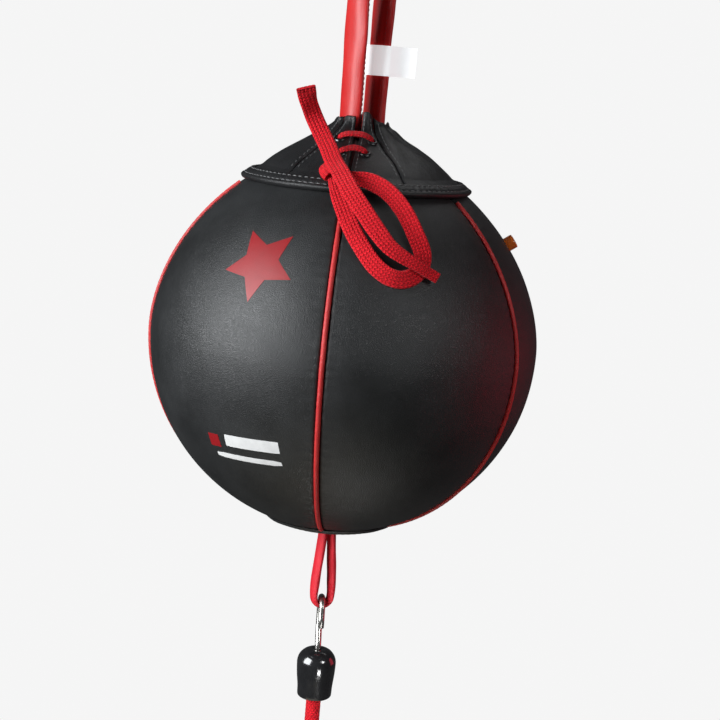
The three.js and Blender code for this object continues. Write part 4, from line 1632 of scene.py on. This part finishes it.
    def build_eyelet(self, row: int, side: Side) -> Object:
        """Return one eyelet: a rolled flange round a barrel that passes through the leather."""
        name = f"{'upper' if row else 'lower'}_{side.name.lower()}_eyelet_ring"
        bore, barrel, flange = 1.25 * MM, 1.8 * MM, 3.0 * MM
        profile = [(bore, -2.0 * MM), (barrel, -2.0 * MM), (barrel, 0.3 * MM), (flange - 0.25 * MM, 0.3 * MM),
                   (flange, 0.55 * MM), (flange - 0.3 * MM, 0.95 * MM), (flange - 0.9 * MM, 1.2 * MM),
                   (bore + 0.35 * MM, 1.1 * MM), (bore, 0.7 * MM)]
        ring = turned(name, profile, 28)
        azimuth = self.eyelet_azimuth(row, side)
        share = self.hem_share + (1 - self.hem_share) * self.eyelet_rows[row]
        ring.rotation_mode = "QUATERNION"
        ring.rotation_quaternion = self.away(azimuth, share).to_track_quat("Z", "Y")
        ring.location = self.surface(azimuth, share)
        make_active(ring)
        bpy.ops.object.transform_apply(location=True, rotation=True, scale=True)
        return ring

    def build(self) -> None:
        """Build and dress the whole collar."""
        palette = self.palette
        left, right, back = self.seam_azimuths
        leaves = (
            ("front_left_leaf", left, self.slit_azimuth, False, True, "facing_left"),
            ("front_right_leaf", self.slit_azimuth, right, True, False, "facing_right"),
            ("right_leaf", right, back, False, False, "collar_right"),
            ("left_leaf", back, left + 360, False, False, "collar_left"),
        )
        for name, start, end, starts_slit, ends_slit, node in leaves:
            leaf = self.build_leaf(name, start, end, starts_slit, ends_slit)
            settle(leaf, Finish.COLLAR_LEATHER, palette.collar, Body.BALL, node)
        settle(self.build_hem(), Finish.COLLAR_LEATHER, palette.collar, Body.BALL, "collar_hem")
        settle(self.build_tongue(), Finish.COLLAR_LEATHER, palette.collar, Body.BALL, "tongue")
        rows = (("hem_stitches_lower", 1.0 * MM, self.hem_thickness * 0.8),
                ("hem_stitches_upper", 4.95 * MM, self.hem_thickness * 0.8))
        for name, up, out in rows:
            settle(self.build_hem_stitches(name, up, out), Finish.COLLAR_LEATHER, palette.thread, Body.BALL)
        settle(self.build_seam_stitches(), Finish.COLLAR_LEATHER, palette.thread, Body.BALL)
        for row in (0, 1):
            for side in Side:
                node = f"eyelet_{'upper' if row else 'lower'}_{side.name.lower()}"
                settle(self.build_eyelet(row, side), Finish.EYELET, palette.eyelet, Body.BALL, node)


# ---- Lacing ----

# The free laces' routes: azimuth, outline angle, and stand-off from the ball in millimetres.
SHORT_TAIL_ROUTE = (
    (-12.5, 58.8, 12), (-17.6, 62.5, 14), (-25.7, 65.8, 19), (-31.2, 66.9, 26), (-31.7, 66.2, 34),
    (-30.2, 65.2, 42),
)
LONG_TAIL_ROUTE = (
    (-7.2, 54, 13), (-1.5, 47.6, 13.5), (3.4, 42.5, 12.5), (7.7, 37.9, 11), (11.7, 34.3, 9.5),
    (18.7, 31, 7.5), (26.6, 27.9, 4.5),
)
BOW_ROUTE = (
    (-8, 50.7, 8), (-4.4, 45.9, 7), (-0.8, 40.8, 5), (3.4, 35.7, 3), (7.9, 30.7, 2.5), (12.4, 28, 2.5),
    (16.9, 27.7, 2.5), (21.3, 29.9, 2.7), (23.3, 34.1, 3.5), (21.2, 39.8, 6), (17.7, 45.7, 8.5),
    (12.4, 50.7, 9.5), (5.2, 53.9, 9), (-1.6, 54.8, 8.5),
)


@dataclass
class Lacing:
    """The lace through the eyelets, its knot, bow and two free ends."""

    palette: Palette
    outline: Outline
    collar: NeckCollar
    width: float = 9 * MM
    thickness: float = 1.7 * MM
    ribs: int = 5
    rib_height: float = 0.22 * MM
    crossing_width: float = 3.4 * MM
    crossing_thickness: float = 1.9 * MM
    forward: float = 0.8
    spine_steps: int = 130

    def run(self, route: tuple[tuple[float, float, float], ...]) -> list[Vector]:
        """Return a route's places."""
        return [self.outline.place(azimuth, angle, lift * MM) for azimuth, angle, lift in route]

    def section(self, width: float, thickness: float, ribs: int) -> Section:
        """Return a flat lace's section, ribbed on both faces."""
        half = width / 2
        steps = 8 * ribs
        rise = self.rib_height if ribs > 1 else 0.0
        top = []
        for step in range(steps + 1):
            share = step / steps * 2 - 1
            body = thickness / 2 * (1 - abs(share) ** 5) ** 0.5
            rib = rise * abs(math.cos(math.pi * ribs * (share + 1) / 2 + math.pi / 2)) - rise
            top.append((half * share, max(0.05 * MM, body + rib * (1 - abs(share) ** 8))))
        bottom = [(x, -y) for x, y in reversed(top)]
        return [*top, *bottom]

    def ribbon(self, name: str, spine: list[Vector], width_at: Callable[[float], float],
               twist_at: Callable[[float], float], thickness: float, ribs: int) -> Object:
        """Return a lace laid along a spine, flat side away from the ball and forward unless twisted.

        Args:
            name: The object's name.
            spine: Its middle line.
            width_at: Gives its width from the share along.
            twist_at: Gives its twist in degrees from the share along.
            thickness: Its thickness.
            ribs: Ribs across it.

        Returns:
            The lace's mesh.
        """
        centre = Vector((0, 0, self.outline.centre_z))

        def side(share: float, point: Vector, along: Vector) -> Vector:
            away = (point - centre).normalized() + Vector((0, -self.forward, 0))
            flat = away.cross(along).normalized()
            out = along.cross(flat)
            twist = math.radians(twist_at(share))
            return flat * math.cos(twist) + out * math.sin(twist)

        lace = sweep(name, spine, side, lambda share: self.section(width_at(share), thickness, ribs))
        smooth_faces(lace, 70)
        return lace

    def declare(self, lace: Object, spine: list[Vector]) -> None:
        """Log a free lace's length; its route is worked out and not kept."""
        route = smooth_path(spine[::5], 28)
        length = path_length(spine)
        tuple(spine[0])
        [tuple(point) for point in route]
        LOG.info("%s is %.0f mm long", lace.name, length / MM)

    def build_free_ends(self) -> None:
        """Build the two free ends, which lie as one band across the knot."""
        joint = self.run(LONG_TAIL_ROUTE)[0]
        tails = (
            ("short_lace_end", SHORT_TAIL_ROUTE, "lace_tail_short", lambda s: 4 * math.sin(3 * s)),
            ("long_lace_end", LONG_TAIL_ROUTE, "lace_tail_long", lambda s: 12 * ease(0.55, 1.0, s)),
        )
        for name, route, node, twist in tails:
            long_end = node == "lace_tail_long"
            points = self.run(route) if long_end else [joint, *self.run(route)]
            spine = smooth_path(points, self.spine_steps)

            def width(share: float) -> float:
                fold = ease(0.45, 0.95, share) * (0.42 if long_end else 0.0)
                splay = 0.06 * ease(0.8, 1.0, share) * (0 if long_end else 1)
                return self.width * (1 - fold + splay)

            lace = self.ribbon(name, spine, width, twist, self.thickness, self.ribs)
            settle(lace, Finish.LACE, self.palette.lace, Body.BALL, node)
            self.declare(lace, spine)

    def build_bow(self) -> None:
        """Build the hanging bow, which turns on its edge as it comes back up."""
        knot = self.knot_centre()
        spine = smooth_path([knot, *self.run(BOW_ROUTE), knot], 2 * self.spine_steps)

        def width(share: float) -> float:
            return self.width * (0.55 + 0.4 * ease(0.0, 0.16, min(share, 1 - share)))

        def twist(share: float) -> float:
            return -38 * ease(0.5, 0.68, share) * (1 - ease(0.9, 1.0, share)) + 12 * ease(0.1, 0.3, share)

        lace = self.ribbon("lace_bow_loop", spine, width, twist, self.thickness, self.ribs)
        settle(lace, Finish.LACE, self.palette.lace, Body.BALL, "lace_bow")
        self.declare(lace, spine)

    def knot_centre(self) -> Vector:
        """Return the middle of the knot."""
        low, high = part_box("lace_knot")
        return (low + high) / 2

    def build_knot(self) -> None:
        """Wrap the lace round the bow's two ends, under the band."""
        centre = self.knot_centre()
        band = (self.run(LONG_TAIL_ROUTE)[1] - self.run(SHORT_TAIL_ROUTE)[0]).normalized()
        away = (centre - Vector((0, 0, self.outline.centre_z))).normalized()
        across = away.cross(band).normalized()
        out = band.cross(across)
        turns = []
        for step in range(25):
            turn = math.tau * 1.5 * step / 24
            lean = band * (step / 24 - 0.5) * 4 * MM
            turns.append(centre + across * 4.6 * MM * math.cos(turn) + out * 3.2 * MM * math.sin(turn) + lean)
        spine = smooth_path(turns, 120)
        knot = sweep("lace_knot_wrap", spine, lambda share, point, along: band,
                     lambda share: self.section(self.width * 0.65, self.thickness, self.ribs))
        smooth_faces(knot, 70)
        settle(knot, Finish.LACE, self.palette.lace, Body.BALL, "lace_knot")

    def build_crossings(self) -> None:
        """Lace across the slit from eyelet to eyelet, down into both bores."""
        collar = self.collar
        for row, rise in ((0, 2.6), (1, 3.4)):
            share = collar.hem_share + (1 - collar.hem_share) * collar.eyelet_rows[row]
            left = collar.eyelet_azimuth(row, Side.LEFT)
            right = collar.eyelet_azimuth(row, Side.RIGHT)
            points = []
            route = ((0, -1.5, 0), (0.04, 1.4, 0), (0.25, rise, 0.006), (0.5, rise + 0.4, 0.012),
                     (0.75, rise, 0.006), (0.96, 1.4, 0), (1, -1.5, 0))
            for along, lift, sag in route:
                points.append(collar.surface(blend_value(left, right, along), share + sag, lift * MM))
            spine = smooth_path(points, 60)
            name = "upper_lace_crossing" if row else "lower_lace_crossing"
            lace = self.ribbon(name, spine,
                               lambda s: self.crossing_width * (0.7 + 0.3 * math.sin(math.pi * s)),
                               lambda s: 0.0, self.crossing_thickness, 2)
            node = "lace_crossing_upper" if row else "lace_crossing_lower"
            settle(lace, Finish.LACE, self.palette.lace, Body.BALL, node)

    def build(self) -> None:
        """Build the whole lacing."""
        self.build_free_ends()
        self.build_bow()
        self.build_knot()
        self.build_crossings()


# ---- Below the ball ----


@dataclass
class BottomFitting:
    """The patch that closes the gores and the small strap loop below it."""

    palette: Palette
    outline: Outline
    patch_angle: float = -70.0
    hole_radius: float = 7.5 * MM
    clearance: float = 0.3 * MM
    patch_thickness: float = 1.2 * MM
    azimuth: float = 20.0
    strap_width: float = 8.2 * MM
    strap_thickness: float = 4.3 * MM
    arch_radius: float = 4.8 * MM
    neck_half: float = 2.4 * MM
    frame_strap_half: float = 1.4 * MM
    tail: float = 6 * MM
    bend_reach: float = 5 * MM
    rim_inset: float = 0.6
    groove_share: float = 0.13

    def build_patch(self) -> Object:
        """Return the round patch with its turned rim and a sewn groove."""
        hole_angle = -math.degrees(math.acos(self.hole_radius / self.outline.radius))
        outer = []
        steps = 26
        for step in range(steps + 1):
            share = step / steps
            angle = blend_value(self.patch_angle + self.rim_inset, hole_angle, share)
            rim = rolled_drop(share * 26 * MM, 1.3 * MM)
            groove = 0.35 * MM * math.exp(-((share - self.groove_share) / 0.035) ** 2)
            lift = self.clearance + self.patch_thickness + 0.2 * MM - rim - groove
            outer.append(self.outline.point(angle, lift))
        inner = [self.outline.point(hole_angle, self.clearance), self.outline.point(self.patch_angle, 0.0)]
        profile = [*outer, *inner]

        def place(u: float, v: float) -> Vector:
            radius, height = profile[round(v * len(profile)) % len(profile)]
            azimuth = 360 * u
            sway = 0.25 * MM * noise(Vector((math.cos(math.tau * u) * 3,
                                             math.sin(math.tau * u) * 3, radius * 90)))
            return self.outline.turned_to(azimuth, (radius, height - sway))

        patch = surface_grid("bottom_patch_disc", 160, len(profile), place, closed=True)
        turn_outward(patch)
        smooth_faces(patch, 60)
        return patch

    def build_patch_stitches(self) -> Object:
        """Return the ring of stitches in the patch's groove."""
        hole_angle = -math.degrees(math.acos(self.hole_radius / self.outline.radius))
        angle = blend_value(self.patch_angle + self.rim_inset, hole_angle, self.groove_share)
        radius, _ = self.outline.point(angle)
        count = round(math.tau * radius / (3.2 * MM))
        lift = self.clearance + self.patch_thickness
        places = [self.outline.place(360 * i / count, angle, lift) for i in range(count + 1)]
        aways = [self.outline.away(360 * i / count, angle) for i in range(count + 1)]
        return stitch_run("patch_stitches", places, aways, 2.2 * MM, 0.5 * MM)

    def build_strap(self) -> None:
        """Build the small loop, which hangs between the ball and the strap's own body."""
        swing_z = (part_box("lower_loop")[1].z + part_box("lower_loop_anchor")[0].z) / 2
        arch_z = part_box("lower_loop")[0].z + self.frame_strap_half + self.arch_radius
        strap = RolledStrap("lower_strap_loop", self.azimuth, self.strap_width, self.strap_thickness,
                            self.neck_half, swing_z, self.arch_radius, arch_z, -1, self.tail,
                            ridge_height=0.3 * MM, crown_share=0.74, stations=110)
        loop = strap.build()
        dress(loop, Finish.STRAP_LEATHER, self.palette.lower_strap)
        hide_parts("lower_loop", "lower_loop_anchor")
        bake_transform(loop)

    def build(self) -> None:
        """Build and dress the fitting."""
        settle(self.build_patch(), Finish.BALL_LEATHER, self.palette.ball, Body.BALL, "bottom_patch")
        settle(self.build_patch_stitches(), Finish.BALL_LEATHER, self.palette.thread, Body.BALL)
        self.build_strap()


@dataclass
class CordEnd:
    """A wire hook whose shank passes through a dipped cap over the cord's end.

    Attributes:
        palette: The materials.
        name: Start of the pieces' names.
        prefix: Start of the frame nodes' names.
        top_z: Height of the cap's shank end.
        upward: 1 where the hook is above the cap and -1 where it is below.
        cap_body: The body that the cap moves with.
        hook_body: The body that the hook moves with.
    """

    palette: Palette
    name: str
    prefix: str
    top_z: float
    upward: int
    cap_body: Body
    hook_body: Body
    azimuth: float = 5.0
    wire_radius: float = 1.75 * MM
    arch_radius: float = 6.5 * MM
    reach: float = 23.5 * MM
    tip_drop: float = 8 * MM
    tip_flare: float = 1.2 * MM
    length: float = 27 * MM
    cap_radius: float = 10.8 * MM
    waist_radius: float = 9.6 * MM
    bore_radius: float = 7.6 * MM
    roof: float = 4.5 * MM
    hook: Object = field(init=False, default=None)
    cap: Object = field(init=False, default=None)

    def placed(self, points: list[Vector]) -> list[Vector]:
        """Return the end's own points in the frame: turned over for the lower end, then round and up."""
        flipped = [Vector((p.x, p.y * self.upward, p.z * self.upward)) for p in points]
        return [point + Vector((0, 0, self.top_z)) for point in turned_points(flipped, self.azimuth)]

    def build_hook(self) -> Object:
        """Return the hook: a shank, a half-circle and a flared tip, with its end rounded."""
        head_z = -self.roof - 3.3 * MM
        points = [Vector((0, 0, z)) for z in (head_z, -self.roof, 0, 2 * MM)]
        points.append(Vector((0, self.arch_radius * 0.72, self.reach * 0.55)))
        for turn in range(0, 181, 30):
            angle = math.radians(turn)
            points.append(Vector((0, self.arch_radius * math.cos(angle),
                                  self.reach + self.arch_radius * math.sin(angle))))
        tip_y = -self.arch_radius - self.tip_flare
        for share in (0.5, 0.75, 1.0):
            points.append(Vector((0, tip_y, self.reach - self.tip_drop * share)))
        spine = smooth_path(points, 90)
        hook = wire(f"{self.name}_hook_wire", self.placed(spine), self.wire_radius, 20)
        tip = self.placed([points[-1]])[0]
        bpy.ops.object.mode_set(mode="EDIT")
        select_faces(hook, lambda face: len(face.verts) > 4 and (face.calc_center_median() - tip).length < MM)
        bpy.ops.mesh.bevel(offset=self.wire_radius * 0.6, segments=4, affect="EDGES")
        bpy.ops.object.mode_set(mode="OBJECT")
        smooth_faces(hook, 50)
        return hook

    def build_cap(self) -> Object:
        """Return the dipped cap, domed at its shank end and rounded at its mouth."""
        shank = self.wire_radius + 0.3 * MM
        outer = [(shank, -0.1 * MM), (shank + 0.8 * MM, 0.25 * MM)]
        for step in range(1, 11):
            turn = math.pi / 2 * step / 10
            outer.append((shank + 0.8 * MM + (self.cap_radius - shank - 0.8 * MM) * math.sin(turn) ** 0.92,
                          -8 * MM * (1 - math.cos(turn)) + 0.25 * MM))
        for step in range(1, 8):
            share = ease(0.0, 1.0, step / 7)
            outer.append((blend_value(self.cap_radius, self.waist_radius, share),
                          blend_value(-8 * MM, -self.length + 2.0 * MM, step / 7)))
        for step in range(1, 7):
            turn = math.pi * step / 7
            wall = (self.waist_radius - self.bore_radius) / 2
            outer.append((self.waist_radius - wall * (1 - math.cos(turn)),
                          -self.length + 1.4 * MM - 1.3 * MM * math.sin(turn)))
        profile = [*outer, (self.bore_radius, -self.length + 2 * MM), (self.bore_radius, -self.roof),
                   (shank, -self.roof)]
        cap = turned(f"{self.name}_cap_shell", profile, 64)
        for vertex in cap.data.vertices:
            co = vertex.co
            turn = math.atan2(co.y, co.x)
            uneven = 0.22 * MM * noise(Vector((math.cos(turn) * 1.5, math.sin(turn) * 1.5, co.z / MM * 0.12)))
            radius = math.hypot(co.x, co.y)
            if radius > self.bore_radius + 0.5 * MM:
                co.x *= 1 + uneven / radius
                co.y *= 1 + uneven / radius
            vertex.co = self.placed([co])[0]
        if self.upward < 0:
            turn_outward(cap)
        smooth_faces(cap, 50)
        return cap

    def build(self) -> None:
        """Build and dress the end; its crimp keeps the frame's shape."""
        self.hook = settle(self.build_hook(), Finish.STEEL, self.palette.steel, self.hook_body,
                           f"{self.prefix}_hook")
        self.cap = settle(self.build_cap(), Finish.CAP, self.palette.cap, self.cap_body,
                          f"{self.prefix}_end_cap")
        dress_node(f"{self.prefix}_crimp", self.palette.steel)


def dress_node(node: str, material: Material) -> None:
    """Give a frame node that keeps its shape its own material."""
    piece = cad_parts[node]
    piece.data.materials.clear()
    piece.data.materials.append(material)


@dataclass
class ElasticCord:
    """The covered elastic cord between the two caps."""

    palette: Palette
    bag_end: CordEnd
    floor_end: CordEnd
    radius: float = 4.1 * MM
    strands: int = 14
    lay_pitch: float = 36 * MM
    groove: float = 0.3 * MM

    def build(self) -> None:
        low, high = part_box("elastic_cord")
        length = high.z - low.z
        around, rows = 90, 190

        def place(u: float, v: float) -> Vector:
            turn = math.tau * u
            run = v * length
            phase = self.strands * (turn / math.tau + run / self.lay_pitch)
            strand = abs(math.sin(math.pi * phase))
            fine = math.sin(math.tau * (phase * 3))
            radius = self.radius - self.groove * (1 - strand) ** 2 + 0.04 * MM * fine
            return Vector((radius * math.cos(turn), radius * math.sin(turn), high.z - run))

        cord = surface_grid("elastic_cord_cover", around, rows, place, closed=True)
        for mark in cord.data.uv_layers["shares"].data:
            across, run = mark.uv[0], mark.uv[1] * length
            mark.uv = (run, across + run / self.lay_pitch)
        close_ends(cord)
        turn_outward(cord)
        smooth_faces(cord, 60)
        dress(cord, Finish.ELASTIC, self.palette.elastic)
        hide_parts("elastic_cord")
        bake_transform(cord)
        route = [(0, 0, blend_value(high.z, low.z, i / 19)) for i in range(20)]


def close_ends(piece: Object) -> None:
    """Close every open rim of a mesh with one face."""
    editing = bmesh.new()
    editing.from_mesh(piece.data)
    rims = [edge for edge in editing.edges if edge.is_boundary]
    bmesh.ops.holes_fill(editing, edges=rims, sides=0)
    editing.to_mesh(piece.data)
    editing.free()


def main() -> None:
    """Build the studio and every piece of the bag in order."""
    logging.basicConfig(level=logging.INFO, format="%(message)s")
    low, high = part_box("bladder")
    outline = Outline(centre_z=(low.z + high.z) / 2)
    floor_z = CAD_BOUNDS[0].z - 0.02
    Studio(Vector((0, 0, outline.centre_z)), floor_z).build()
    palette = Palette.mixed()
    line = CollarLine(outline)
    collar = NeckCollar(palette, outline, line)
    Lacing(palette, outline, collar).build()
    bag_end = CordEnd(palette, "bag", "bag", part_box("bag_end_cap")[1].z, 1, Body.CORD_TOP, Body.UPPER_HOOK)
    floor_end = CordEnd(palette, "floor", "floor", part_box("floor_end_cap")[0].z, -1, Body.CORD_FOOT,
                        Body.FOOT_HOOK)
    bag_end.build()
    floor_end.build()
    ElasticCord(palette, bag_end, floor_end).build()
    HangingLoop(palette).build()
    BallCover(palette, outline).build()
    collar.build()
    BottomFitting(palette, outline).build()
    dress_node("bladder", palette.bladder)


if __name__ == "__main__":
    main()
